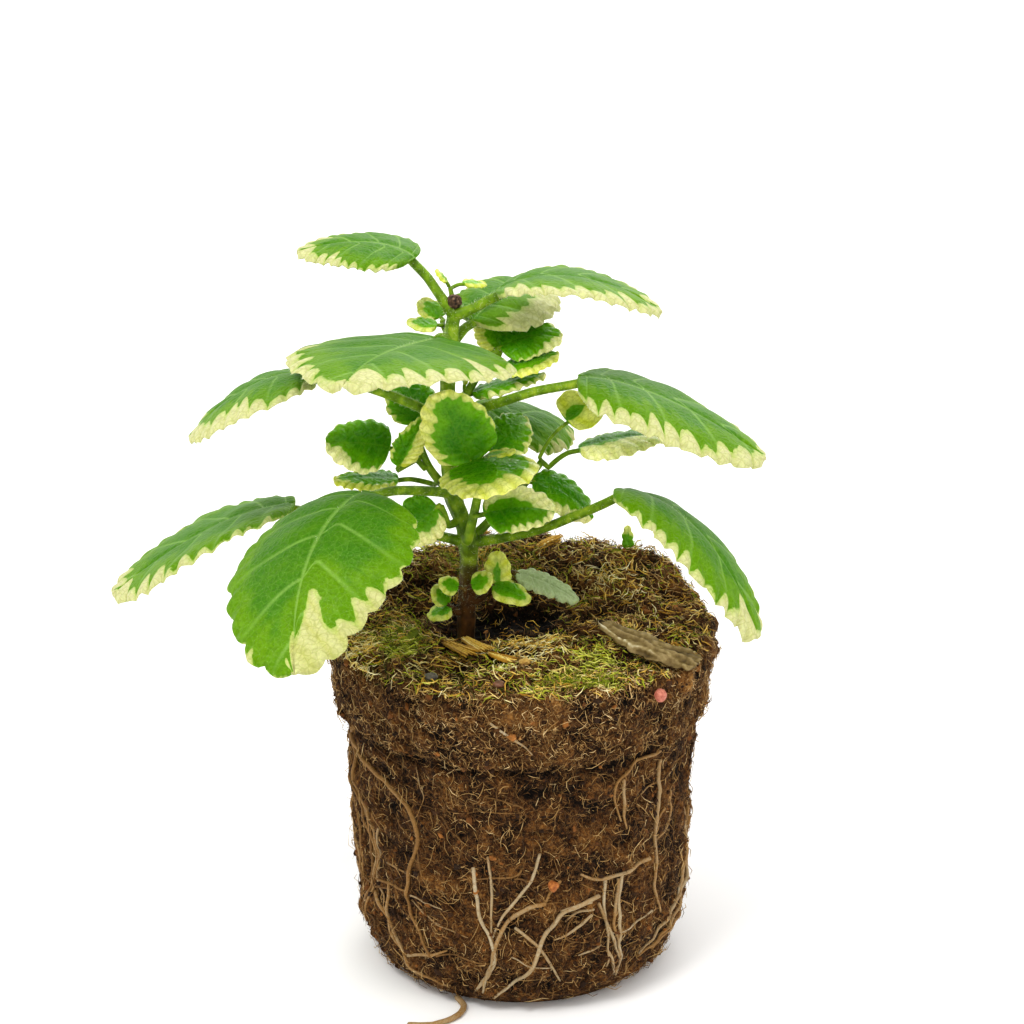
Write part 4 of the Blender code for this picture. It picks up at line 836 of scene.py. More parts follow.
def makeShoot(name, shoot, seed, look):
    random = np.random.default_rng(300 + seed)
    bundle = newBundle()
    points = np.array(shoot["route"])
    # The shoot starts inside the main stem
    start = points[0] + (stemPoint(points[0][2]) - points[0]) * shootStem["inward"]
    route = smoothRoute(np.vstack([start, points]), shootStem["step"])
    taper = np.linspace(shootStem["thickest"], shootStem["thinnest"], len(route))

    def ribbed(turn):
        return 1 + 0.07 * np.cos(4 * turn)

    addPart(bundle, *tubePart(route, shoot["radius"] * taper, shootStem["sides"], ribbed), stalkFinish)
    count = len(route) * shootStem["hairsPerStep"]
    low = random.integers(3, len(route) - 1, count)
    away = unit(random.normal(size=(count, 3)))
    addHairs(bundle, route[low] + away * (shoot["radius"] * 0.8), away,
             stalk["hairLength"] * random.uniform(0.3, 0.7, count), stalk["hairRadius"], hairFinish, random)
    for number, leaf in enumerate(shoot["leaves"]):
        size = "tiny" if leaf["length"] < blade["tinyLength"] else "small"
        near = route[np.argmin(np.linalg.norm(route - np.array(leaf["at"]), axis=1))]
        addBlade(bundle, leaf, size, seed * 7 + number + 20, random)
        addStalk(bundle, leaf, size, random, near)
    finishPiece(bundle, "young" + joinWords(name), name, [*leafSkins[look], stalkSkin, hairSkin])


def makeScar():
    # The pinched-out tip has dried to a dark brown plug with a torn, fibrous end
    random = np.random.default_rng(5)
    stops = [(0.35, "#24170f"), (0.55, "#59402d"), (0.72, "#9a8068")]
    material = makeSpeckledSkin("driedStemScar", stops, 1400.0, 0.85, 4.0, 0.5)
    bundle = newBundle()
    turn = np.linspace(0, 2 * np.pi, scar["sides"], endpoint=False)
    centre = np.array(scar["centre"])
    rings = []
    for h in np.linspace(-1.0, 1.0, scar["rings"]):
        radius = math.sqrt(max(0.0, 1 - abs(h) ** 3)) * 0.92 + 0.02
        level = np.full(len(turn), h * 0.95)
        rings.append(np.stack([np.cos(turn) * radius, np.sin(turn) * radius, level], axis=1))
    points = np.concatenate(rings) * scar["radius"]
    rough = noiseAt(points, 0.55 * mm, 2.0)
    points = points * (1 + 0.10 * rough[:, None]) + centre
    ends = np.vstack([centre + (0, 0, -0.97 * scar["radius"]), centre + (0, 0, 0.9 * scar["radius"])])
    addPart(bundle, np.vstack([points, ends]), closedFaces(scar["rings"], scar["sides"]))
    count = scar["hairs"]
    angle = random.uniform(0, 2 * np.pi, count)
    radius = scar["radius"] * np.sqrt(random.uniform(0.2, 0.8, count))
    roots = centre + np.stack([np.cos(angle) * radius, np.sin(angle) * radius,
                               np.sqrt(scar["radius"] ** 2 - radius ** 2) * 0.85], axis=1)
    away = unit(random.normal(scale=0.35, size=(count, 3)) + (0, 0, 1))
    addHairs(bundle, roots, away, random.uniform(0.2, 0.55, count) * mm, 0.06 * mm, 0, random)
    finishPiece(bundle, "driedTipScar", "cut_scar", [material])


makeStem()
makeScar()
for number, (name, leaf) in enumerate(bigLeaves.items()):
    makeBigLeaf(name, leaf, number)
for number, (name, shoot) in enumerate(shoots.items()):
    look, slot = ("oldLeafSkin", "old_leaf") if name == "leaf_old" else ("youngLeafSkin", "young_leaf")
    makeShoot(name, shoot, number, look)
print("plant made,", sum(triangles), "triangles")


# Root ball: the solid one's profile and lumps, read finely, then crumbs and fibres laid over it
ball = dict(
    top=0.078, topRings=(0.0, 0.008, 0.016, 0.024, 0.032, 0.038), rim=0.0435, rimInset=2.2 * mm,
    rimDrop=5.0 * mm, collarMiddle=0.067, collarHeight=0.061, collar=0.0412, collarStep=1.4 * mm, body=0.0392,
    lowHeight=0.012, lowBody=0.0368, footHeight=0.004, footEdge=0.034, foot=0.029,
    bankHeight=6 * mm, bankStart=4 * mm, bankReach=26 * mm, hollowDepth=3.5 * mm, hollow=9 * mm,
    topLump=1.1 * mm, wallLump=1.1 * mm, lumpSize=11 * mm, reliefFrom=0.064, litterFrom=6 * mm,
    ringStep=0.78 * mm, turns=300, underRings=8, wallStart=44.5 * mm,
    clods=1.15 * mm, clodSize=4.6 * mm, crumble=0.75 * mm, crumbleSize=2.0 * mm, grit=0.42 * mm,
    gritSize=0.95 * mm, sink=0.5 * mm, tufts=2.0 * mm, tuftSize=7.0 * mm,
    ledgeDrop=1.8 * mm, ledgeHalf=1.2 * mm, ledgeDepth=1.1 * mm, ledgeFrom=0.036,
    shadedHollow=(0.001, 0.004), shadedHollowReach=11 * mm, shadedHollowDepth=1.2 * mm, footShade=0.010)
soilBits = dict(
    crumbs=dict(count=2200, least=0.35 * mm, spread=0.75 * mm, rounder=True),
    grains=dict(count=5200, least=0.18 * mm, spread=0.30 * mm, rounder=False),
    collarFuzz=dict(count=12000, strands=766, longest=2.6, seed=22, lighter=0.10),
    wallFuzz=dict(count=15500, strands=1533, longest=3.4, seed=24, lighter=0.0),
    onTop=0.3, topFuzz=(6200, 0.007), topStrands=(3600, 0.008), topTufts=(850, 0.009), rimGap=0.6 * mm,
    heapGap=1.5 * mm, kindBounds=(-9, 0.27, 0.76, 9),
    clumps=[(0.003, -0.015, 0.009, 0.009, 150, 0.5), (-0.034, -0.019, 0.0035, 0.009, 120, 0.5),
            (-0.026, -0.016, 0.006, 0.008, 90, 0.9), (0.016, -0.021, 0.006, 0.012, 150, 1.0),
            (0.020, 0.018, 0.008, 0.008, 80, 0.5)])


# Moist compost: dark peat and bark crumbs matted with fine roots, dull, painted nearly black as shade in its
# holes, and tan along the hair-thin roots that curl over it
def makeSoilSkin():
    material, skin, add = newMaterial("moistCompost")
    place = add("TexCoord")
    depth = add("Attribute", attribute_name="shade").outputs["Fac"]
    broad = add("TexNoise", {"Vector": place, "Scale": 130.0, "Detail": 3.0})
    crumb = add("TexNoise", {"Vector": place, "Scale": 1100.0, "Detail": 4.0, "Roughness": 0.75})
    # The shade attribute, read here as depth, darkens the tone: painted shade in hollows, under the collar
    # and round the stem's foot
    mixed = add("Math", [broad, 0.7, depth], operation="MULTIPLY_ADD")
    level = add("Math", [crumb, 1.3, mixed], operation="MULTIPLY_ADD")
    lowered = add("Math", [level, 0.72], operation="SUBTRACT")
    tone = add("ValToRGB", [lowered], [
        (0.22, "#050301"), (0.42, "#1c0f05"), (0.62, "#472b10"), (0.82, "#7a5226"), (1.0, "#a67c44")])
    # Hair-thin roots too fine to model: the level lines of two noises, which curl and close on themselves
    curls = []
    for scale in (620.0, 880.0):
        field = add("TexNoise", {"Vector": place, "Scale": scale, "Detail": 1.0, "Distortion": 0.6})
        apart = add("Math", [field, 0.5], operation="SUBTRACT")
        away = add("Math", [apart], operation="ABSOLUTE")
        curls.append(add("MapRange", [away, 0.0, 0.022, 1.0, 0.0]))
    curl = add("Math", curls, operation="MAXIMUM")
    gate = add("MapRange", [lowered, 0.30, 0.62, 0.0, 0.75])
    curlShare = add("Math", [curl, gate], operation="MULTIPLY")
    fuzzed = add("Mix", {0: curlShare, 6: tone, 7: "#8a6a42"}, **colours)
    height = add("Math", [curlShare, 0.25, crumb], operation="MULTIPLY_ADD")
    relief = add("Bump", {"Strength": 1.0, "Distance": 0.55 * mm, "Height": height})
    feed(skin, {"Base Color": fuzzed, "Normal": relief, "Roughness": 0.92, "IOR": 1.3})
    return material


# One maker for the dry plant bits: a random tone for each bit along a ramp, with a fine grain over it
def makeBitSkin(name, stops, roughness, grainScale=1600.0, grainDepth=0.08 * mm):
    material, skin, add = newMaterial(name)
    own = add("Attribute", attribute_name="shade").outputs["Fac"]
    grain = add("TexNoise", {"Vector": add("TexCoord"), "Scale": grainScale, "Detail": 3.0,
                             "Roughness": 0.65})
    mixed = add("Math", [grain, 0.5, own], operation="MULTIPLY_ADD")
    centred = add("Math", [mixed, 0.25], operation="SUBTRACT")
    relief = add("Bump", {"Strength": 0.9, "Distance": grainDepth, "Height": grain})
    feed(skin, {"Base Color": add("ValToRGB", [centred], stops), "Normal": relief, "Roughness": roughness,
                "IOR": 1.4})
    return material


soilSkin = makeSoilSkin()
# Bark crumb: split bark in browns from nearly black to rust
crumbSkin = makeBitSkin("barkCrumb", [(0.0, "#150c05"), (0.4, "#40270f"), (0.7, "#74491f"), (0.9, "#a06a33"),
                                      (1.0, "#c49f66")], 0.85)
# Peat fibre: thin brown threads, the lit ones tan
fibreSkin = makeBitSkin("peatFibre", [(0.0, "#2a180a"), (0.25, "#573a19"), (0.5, "#8a6636"),
                                      (0.75, "#b8965f"), (1.0, "#dcc290")], 0.75)
# Dry straw: golden to pale, a little glossy along its length
strawSkin = makeBitSkin("dryStraw", [(0.0, "#94691f"), (0.3, "#c89a38"), (0.55, "#e6c05a"), (0.8, "#ecd88c"),
                                     (1.0, "#f5ebbd")], 0.62)
# Cushion moss: olive to yellow-green threads
mossSkin = makeBitSkin("cushionMoss", [(0.0, "#3a4204"), (0.3, "#727d10"), (0.55, "#a0a824"),
                                       (0.8, "#c6ca42"), (1.0, "#dedc78")], 0.7)
# Dried root: a wrinkled cord, brown where it is thin, tan to pale grey where it is lit
rootSkin = makeBitSkin("driedRoot", [(0.0, "#3a2713"), (0.3, "#674924"), (0.5, "#8e6a38"), (0.7, "#9f8a68"),
                                     (0.88, "#b2a58a"), (1.0, "#ccc3ad")], 0.7, 2200.0, 0.10 * mm)


def ballProfile():
    rim, inset = ball["rim"], ball["rimInset"]
    profile = [(r, ball["top"]) for r in ball["topRings"]]
    profile += [(rim - inset, ball["top"] - inset * 0.1), (rim - inset * 0.2, ball["top"] - inset * 0.8),
                (rim, ball["top"] - ball["rimDrop"]), ((rim + ball["collar"]) / 2, ball["collarMiddle"]),
                (ball["collar"], ball["collarHeight"]),
                (ball["body"], ball["collarHeight"] - ball["collarStep"]),
                (ball["lowBody"], ball["lowHeight"]), (ball["footEdge"], ball["footHeight"]),
                (ball["foot"], 0.0), (ball["foot"] / 2, 0.0), (0.0, 0.0)]
    return np.array(profile)


def makeBallGrid():
    # The ball as a grid of rings from the top's centre, down the wall, to the middle of the underside
    profile = ballProfile()
    lengths = np.concatenate([[0.0], np.cumsum(np.hypot(*np.diff(profile, axis=0).T))])
    wallEnd = lengths[-3]
    stops = np.concatenate([np.arange(ball["ringStep"], wallEnd, ball["ringStep"]),
                            np.linspace(wallEnd, lengths[-1], ball["underRings"])[:-1]])
    r = np.interp(stops, lengths, profile[:, 0])
    z = np.interp(stops, lengths, profile[:, 1])
    turn = np.linspace(0, 2 * np.pi, ball["turns"], endpoint=False)
    radial = np.stack([np.sin(turn), -np.cos(turn), np.zeros_like(turn)], axis=1)
    points = radial[None] * r[:, None, None]
    points[:, :, 2] = z[:, None]
    points = points.reshape(-1, 3)
    lump = noiseAt(points, ball["lumpSize"])
    reach = np.hypot(points[:, 0], points[:, 1])
    wall = (reach > ball["foot"] * 0.99) & (points[:, 2] > 1 * mm)
    push = np.where(wall, ball["wallLump"] * lump * smooth(points[:, 2] / 0.012) / np.maximum(reach, 1e-6),
                    0.0)
    foot = stemPoint(ball["top"])
    rise = smooth((points[:, 2] - ball["reliefFrom"]) / (ball["top"] - ball["reliefFrom"]))
    apart = np.hypot(points[:, 0] - foot[0], points[:, 1] - foot[1])
    dark = np.hypot(points[:, 0] - ball["shadedHollow"][0], points[:, 1] - ball["shadedHollow"][1])
    dark = np.exp(-(dark / ball["shadedHollowReach"]) ** 2) * rise
    bank = ball["bankHeight"] * smooth((points[:, 1] - ball["bankStart"]) / ball["bankReach"])
    hollow = ball["hollowDepth"] * np.exp(-(apart / ball["hollow"]) ** 2)
    points[:, :2] *= (1 + push)[:, None]
    points[:, 2] += rise * (bank - hollow + ball["topLump"] * lump)
    shape = (len(stops), ball["turns"], 3)
    grid = points.reshape(shape)
    down = np.gradient(grid, axis=0)
    around = np.roll(grid, -1, axis=1) - np.roll(grid, 1, axis=1)
    normal = unit(np.cross(down, around))
    flip = np.sum(normal * (grid - np.array([0, 0, 0.04])), axis=2)
    normal *= np.where(flip < 0, -1, 1)[:, :, None]
    # Fine relief: clods, crumbs and grit, and tufts of litter on top; the underside stays flat
    coarse = noiseAt(points, ball["clodSize"], 1.0)
    middle = noiseAt(points, ball["crumbleSize"], 2.0)
    small = noiseAt(points, ball["gritSize"], 3.0)
    tufts = noiseAt(points, ball["tuftSize"], 4.0)
    free = smooth(points[:, 2] / (5 * mm))
    height = ball["clods"] * coarse + ball["crumble"] * middle + ball["grit"] * small
    littered = rise * smooth((apart - ball["litterFrom"]) / (4 * mm))
    height = height * free - ball["sink"] * free + ball["tufts"] * tufts * littered
    # A ledge runs round under the collar, sunk and painted dark as shade, and painted shade makes the soil
    # darkest at the stem's foot and in the hollow
    ledgeHeight = ball["collarHeight"] - ball["ledgeDrop"]
    ledge = np.exp(-((points[:, 2] - ledgeHeight) / ball["ledgeHalf"]) ** 2)
    ledge = ledge * smooth((reach - ball["ledgeFrom"]) / 0.002) * np.clip(0.75 + 0.6 * tufts, 0, 1)
    footShadow = np.exp(-(apart / ball["footShade"]) ** 2) * rise
    # Painted shade: low spots of the relief are darker and high ones lighter, with the ledge, foot and hollow
    # darker still
    shade = 0.36 + height / mm * 0.15 - 0.3 * ledge - 0.3 * footShadow - 0.3 * dark
    height = height - ball["ledgeDepth"] * ledge - ball["shadedHollowDepth"] * dark
    grid = grid + normal * height.reshape(shape[:2])[:, :, None]
    return grid, normal, np.clip(shade, 0.0, 1.0), stops


ballGrid, ballNormal, ballShade, ballStops = makeBallGrid()
ballHeights = ballGrid[:, :, 2].mean(axis=1)
wallFrom = int(np.argmax(ballStops > ball["wallStart"]))
wallTo = len(ballStops) - ball["underRings"]
collarTo = wallFrom + int(np.argmax(ballHeights[wallFrom:] < ball["collarHeight"]))


def onBall(ring, turnShare):
    # The point and the normal at a ring number and a share of a turn, read between the grid's points
    ring = np.clip(np.asarray(ring, float), 0, len(ballStops) - 1.001)
    spot = (np.asarray(turnShare, float) % 1.0) * ball["turns"]
    i, j = ring.astype(int), spot.astype(int) % ball["turns"]
    k = (j + 1) % ball["turns"]
    u, v = (ring - i)[..., None], (spot - np.floor(spot))[..., None]
    found = []
    for field in (ballGrid, ballNormal):
        found.append((field[i, j] * (1 - v) + field[i, k] * v) * (1 - u)
                     + (field[i + 1, j] * (1 - v) + field[i + 1, k] * v) * u)
    return found


def onWall(angle, height):
    # The wall's point at an angle from the front in degrees and a height
    angle, height = np.asarray(angle, float), np.asarray(height, float)
    rings = np.interp(-height, -ballHeights[wallFrom:wallTo + 1], np.arange(wallFrom, wallTo + 1))
    return onBall(rings, (angle / 360.0) % 1.0)


def onTop(x, y):
    # The top's point above a place
    x, y = np.asarray(x, float), np.asarray(y, float)
    rings = np.clip(np.hypot(x, y) / ball["ringStep"] - 1, 0, None)
    return onBall(rings, (np.arctan2(x, -y) / (2 * np.pi)) % 1.0)


def addCrumbs(bundle, centres, normals, sizes, shades, random, rounder):
    # Rough lumps: a squashed icosahedron, or an octahedron for the smallest, each pulled out of shape
    if rounder:
        g = (1 + 5 ** 0.5) / 2
        base = np.array([(-1, g, 0), (1, g, 0), (-1, -g, 0), (1, -g, 0), (0, -1, g), (0, 1, g), (0, -1, -g),
                         (0, 1, -g), (g, 0, -1), (g, 0, 1), (-g, 0, -1), (-g, 0, 1)]) / math.hypot(1, g)
        faces = np.array([(0, 11, 5), (0, 5, 1), (0, 1, 7), (0, 7, 10), (0, 10, 11), (1, 5, 9), (5, 11, 4),
                          (11, 10, 2), (10, 7, 6), (7, 1, 8), (3, 9, 4), (3, 4, 2), (3, 2, 6), (3, 6, 8),
                          (3, 8, 9), (4, 9, 5), (2, 4, 11), (6, 2, 10), (8, 6, 7), (9, 8, 1)])
    else:
        base = np.array([(1, 0, 0), (-1, 0, 0), (0, 1, 0), (0, -1, 0), (0, 0, 1), (0, 0, -1)], float)
        faces = np.array([(0, 2, 4), (2, 1, 4), (1, 3, 4), (3, 0, 4), (2, 0, 5), (1, 2, 5), (3, 1, 5),
                          (0, 3, 5)])
    count = len(centres)
    turnTo = np.linalg.qr(random.normal(size=(count, 3, 3)))[0]
    stretch = random.uniform(0.35, 1.1, (count, 1, 3)) * sizes[:, None, None]
    jitter = random.uniform(0.65, 1.25, (count, len(base), 1))
    local = base[None] * jitter * stretch
    points = np.einsum("nij,nkj->nki", turnTo, local) + (centres + normals * (sizes * 0.1)[:, None])[:, None]
    start = np.arange(count)[:, None, None] * len(base)
    addPart(bundle, points.reshape(-1, 3), [(faces[None] + start).reshape(-1, 3)],
            shade=np.repeat(shades, len(base)))


def raised(centres, normals, low, high, random):
    # Places lifted off the surface by a random number of millimetres
    return centres + normals * random.uniform(low, high, len(centres))[:, None] * mm


def addFibres(bundle, centres, normals, lengths, widths, shades, finish, random, steps=3, solid=False,
              curl=0.6, lie=0.85, heads=None):
    # Thin curled fibres lying on a surface: flat ribbons, or three-sided strands where they are thicker
    count = len(centres)
    sideways = unit(np.cross(normals, random.normal(size=(count, 3)) if heads is None else heads))
    other = np.cross(normals, sideways)
    if heads is not None:
        sideways, other = other, sideways
    start = sideways * lie + normals * random.uniform(-0.25, 1.0, count)[:, None] * (1 - lie) * 2
    bend = random.normal(scale=curl, size=count)
    t = np.linspace(-0.5, 0.5, steps + 1)
    path = (centres[:, None] + start[:, None] * (t[None, :, None] * lengths[:, None, None])
            + other[:, None] * (bend[:, None] * lengths[:, None] * (t ** 2 - 0.08)[None])[:, :, None]
            + normals[:, None] * (random.normal(scale=0.12, size=count)[:, None] * lengths[:, None]
                                  * np.sin(t * 5)[None])[:, :, None])
    taper = (1 - 0.55 * np.abs(t * 2) ** 2)[None, :, None] * widths[:, None, None]
    if not solid:
        # A ribbon stands partly on edge so that it catches the light from more sides
        edge = (other[:, None] + normals[:, None] * random.uniform(-0.8, 0.8, count)[:, None, None]) * taper
        points = np.stack([path - edge, path + edge], axis=2).reshape(-1, 3)
        base = np.arange(count)[:, None] * (2 * (steps + 1))
        k = np.arange(steps)[None, :] * 2
        quads = np.stack([base + k, base + k + 1, base + k + 3, base + k + 2], axis=-1).reshape(-1, 4)
        addPart(bundle, points, [quads], finish, shade=np.repeat(shades, 2 * (steps + 1)))
        return
    rings = [path + (other[:, None] * math.cos(a) + normals[:, None] * math.sin(a)) * taper
             for a in (math.pi / 2, math.pi * 7 / 6, math.pi * 11 / 6)]
    points = np.stack(rings, axis=2).reshape(-1, 3)
    base = np.arange(count)[:, None] * (3 * (steps + 1))
    blocks = []
    for side in range(3):
        n = (side + 1) % 3
        k = np.arange(steps)[None, :] * 3
        blocks.append(np.stack([base + k + side, base + k + n, base + k + 3 + n, base + k + 3 + side],
                               axis=-1).reshape(-1, 4))
    ends = np.concatenate([base + np.array([[2, 1, 0]]), base + steps * 3 + np.array([[0, 1, 2]])])
    addPart(bundle, points, blocks + [ends], finish, shade=np.repeat(shades, 3 * (steps + 1)))


def makeBall():
    bundle = newBundle()
    ends = np.array([ballGrid[0].mean(axis=0), [0.0, 0.0, 0.0]])
    addPart(bundle, np.vstack([ballGrid.reshape(-1, 3), ends]), closedFaces(*ballGrid.shape[:2], True),
            shade=np.concatenate([ballShade, [0.2, 0.3]]))
    finishPiece(bundle, "compostBall", "root_ball", [soilSkin], False)


def makeCrumbs():
    bundle = newBundle()
    random = np.random.default_rng(21)
    for sort in (soilBits["crumbs"], soilBits["grains"]):
        count = sort["count"]
        onTopCount = int(count * soilBits["onTop"])
        ring = np.concatenate([np.sqrt(random.random(onTopCount)) * (wallFrom - 2),
                               random.uniform(wallFrom - 4, wallTo - 4, count - onTopCount)])
        centres, normals = onBall(ring, random.random(count))
        sizes = sort["least"] + sort["spread"] * random.random(count) ** 2.4
        addCrumbs(bundle, centres, normals, sizes, random.beta(1.7, 2.6, count), random, sort["rounder"])
    finishPiece(bundle, "compostCrumbs", "root_ball", [crumbSkin], False)


def makeFuzz(name, first, last):
    # The mat of fine roots and peat threads on the wall; the thicker ones hang down
    count, strands, longest, seed, lighter = soilBits[name].values()
    bundle = newBundle()
    random = np.random.default_rng(seed)
    centres, normals = onBall(random.uniform(first, last, count), random.random(count))
    centres = raised(centres, normals, -0.1, 0.55, random)
    patch = 0.22 * noiseAt(centres, 8 * mm, seed)
    addFibres(bundle, centres, normals, random.uniform(0.8, longest, count) * mm,
              random.uniform(0.035, 0.085, count) * mm,
              np.clip(random.beta(1.6, 2.4, count) + patch + lighter, 0, 1), 0, random, steps=2, curl=0.9)
    centres, normals = onBall(random.uniform(first, last, strands), random.random(strands))
    centres = raised(centres, normals, 0.1, 0.6, random)
    heads = random.normal(size=(strands, 3)) + np.array([0, 0, 1.6])
    addFibres(bundle, centres, normals, random.uniform(2.0, longest * 2.0, strands) * mm,
              random.uniform(0.06, 0.13, strands) * mm, random.beta(2.4, 2.2, strands), 0, random, steps=4,
              solid=True, curl=0.8, lie=0.93, heads=heads)
    finishPiece(bundle, name, "root_ball", [fibreSkin])


def makeTopLitter():
    # Straw bits, bark fibres and moss threads all over the top, thickest away from the stem's foot
    bundle = newBundle()
    random = np.random.default_rng(23)
    foot = stemPoint(ball["top"])

    def spread(count, clear):
        # Places at random, further than about this from the foot and outside the dark hollow
        angle = random.uniform(0, 2 * np.pi, count * 2)
        reach = np.sqrt(random.random(count * 2)) * (ball["rim"] - soilBits["rimGap"])
        x, y = np.cos(angle) * reach, np.sin(angle) * reach
        free = np.hypot(x - foot[0], y - foot[1]) > clear * random.uniform(0.6, 1.5, count * 2)
        hole = np.hypot(x - ball["shadedHollow"][0], y - ball["shadedHollow"][1])
        keep = free & (hole > ball["shadedHollowReach"] * random.uniform(0.45, 1.15, count * 2))
        return x[keep][:count], y[keep][:count]

    x, y = spread(*soilBits["topFuzz"])
    centres, normals = onTop(x, y)
    centres = raised(centres, normals, 0.0, 0.7, random)
    addFibres(bundle, centres, normals, random.uniform(1.2, 4.5, len(x)) * mm,
              random.uniform(0.05, 0.12, len(x)) * mm, random.beta(2.2, 1.6, len(x)), 0, random, steps=2,
              curl=0.9, lie=0.8)
    x, y = spread(*soilBits["topStrands"])
    push = np.zeros(len(x))
    # Heaps of one kind: golden straw or moss
    for heapX, heapY, reachX, reachY, count, sort in soilBits["clumps"]:
        x = np.append(x, random.normal(heapX, reachX / 2, count))
        y = np.append(y, random.normal(heapY, reachY / 2, count))
        push = np.append(push, np.full(count, sort))
    most = (ball["rim"] - soilBits["heapGap"]) / np.maximum(np.hypot(x, y), 1e-6)
    x, y = x * np.minimum(most, 1), y * np.minimum(most, 1)
    centres, normals = onTop(x, y)
    above = random.uniform(0.2, 1.3, len(x)) + 1.1 * (push > 0) * random.random(len(x))
    centres = centres + normals * above[:, None] * mm
    # Straw and moss come in patches, and each patch lies mostly one way
    drift = noiseAt(centres, 8 * mm, 8.0)
    nearFront = smooth((-14 * mm - y) / (10 * mm))
    yellow = np.clip(random.beta(2.2, 2, len(x)) + 0.3 * drift + 0.12 * nearFront + 0.22 * (push > 0), 0, 1)
    kind = random.random(len(x)) + 0.35 * noiseAt(centres, 7 * mm, 9.0) + 0.12 * nearFront
    kind = np.where(push > 0, push + 0.25 * (kind - 0.5), kind)
    swirl = noiseAt(centres, 9 * mm, 12.0) * 6
    heads = np.stack([np.cos(swirl), np.sin(swirl), np.zeros(len(x))], axis=1)
    heads = heads + random.normal(scale=0.55, size=(len(x), 3))
    # Peat fibre, straw or moss, by where the kind lies between the bounds
    for finish in range(3):
        low, high = soilBits["kindBounds"][finish:finish + 2]
        chosen = (kind >= low) & (kind < high)
        number = int(np.sum(chosen))
        addFibres(bundle, centres[chosen], normals[chosen], random.uniform(1.4, 5.2, number) * mm,
                  random.uniform(0.08, 0.20, number) * mm, yellow[chosen], finish, random,
                  solid=True, curl=0.95, lie=0.74, heads=heads[chosen])
    # Upright tufts of moss stand up from the litter
    x, y = spread(*soilBits["topTufts"])
    x, y = x + random.normal(scale=0.4 * mm, size=len(x)), y + random.normal(scale=0.4 * mm, size=len(y))
    centres, normals = onTop(x, y)
    roots = centres + normals * 0.3 * mm
    away = unit(normals + random.normal(scale=0.6, size=(len(x), 3)))
    addHairs(bundle, roots, away, random.uniform(1.2, 3.2, len(x)) * mm, 0.09 * mm, 2, random, 0.4)
    finishPiece(bundle, "topLitter", "root_ball", [fibreSkin, strawSkin, mossSkin])


makeBall()
makeCrumbs()
makeFuzz("collarFuzz", wallFrom - 6, collarTo)
makeFuzz("wallFuzz", collarTo, wallTo - 3)
makeTopLitter()
print("root ball made,", sum(triangles), "triangles")


# Roots: long tan cords lying on the wall, each through (angle from the front, height) points, then rootlets
rootSprays = {
    "roots_left": [
        (0.00090, [(-78, 0.055), (-54, 0.052), (-39, 0.047), (-36, 0.041), (-39, 0.034), (-41, 0.027),
                   (-42, 0.023), (-37, 0.016), (-33, 0.012)]),
        (0.00070, [(-74, 0.047), (-70, 0.041), (-62, 0.037), (-62, 0.025), (-71, 0.015)]),
        (0.00060, [(-62, 0.025), (-52, 0.026), (-41, 0.027)]),
        (0.00070, [(-52, 0.026), (-53, 0.015), (-48, 0.010), (-42, 0.006), (-27, 0.005)])],
    "roots_centre": [
        (0.00070, [(-16, 0.036), (-14, 0.025), (-10, 0.019), (-9, 0.013), (-16, 0.006)]),
        (0.00055, [(-11, 0.039), (-10, 0.032), (-10, 0.019)]),
        (0.00060, [(6, 0.040), (3, 0.033), (-6, 0.025), (-10, 0.019)])],
    "roots_front": [
        (0.00085, [(27, 0.028), (15, 0.026), (11, 0.023), (7, 0.019), (4, 0.013), (-2, 0.008),
                   (-10, 0.004)]),
        (0.00060, [(-2, 0.022), (5, 0.018), (10, 0.013), (14, 0.008)])],
    "roots_right": [
        (0.00075, [(46, 0.034), (40, 0.033), (34, 0.032), (26, 0.032), (20, 0.034)]),
        (0.00060, [(29, 0.032), (29, 0.026), (31, 0.018), (31, 0.010)]),
        (0.00065, [(35, 0.032), (35, 0.020), (37, 0.011), (37, 0.006)])],
    "roots_right_side": [
        (0.00080, [(51, 0.056), (52, 0.048), (50, 0.041), (51, 0.033), (51, 0.025), (56, 0.018)]),
        (0.00060, [(58, 0.047), (60, 0.040), (50, 0.036)])],
    "root_upper_right": [
        (0.00060, [(50, 0.0585), (44, 0.0580), (39, 0.0575), (31, 0.054), (34, 0.045)])],
    "root_low_right": [
        (0.00080, [(84, 0.036), (76, 0.026), (70, 0.015), (58, 0.011), (48, 0.008)])],
    "root_collar": [
        (0.00045, [(-9, 0.0735), (-3, 0.070), (3, 0.065)])]}

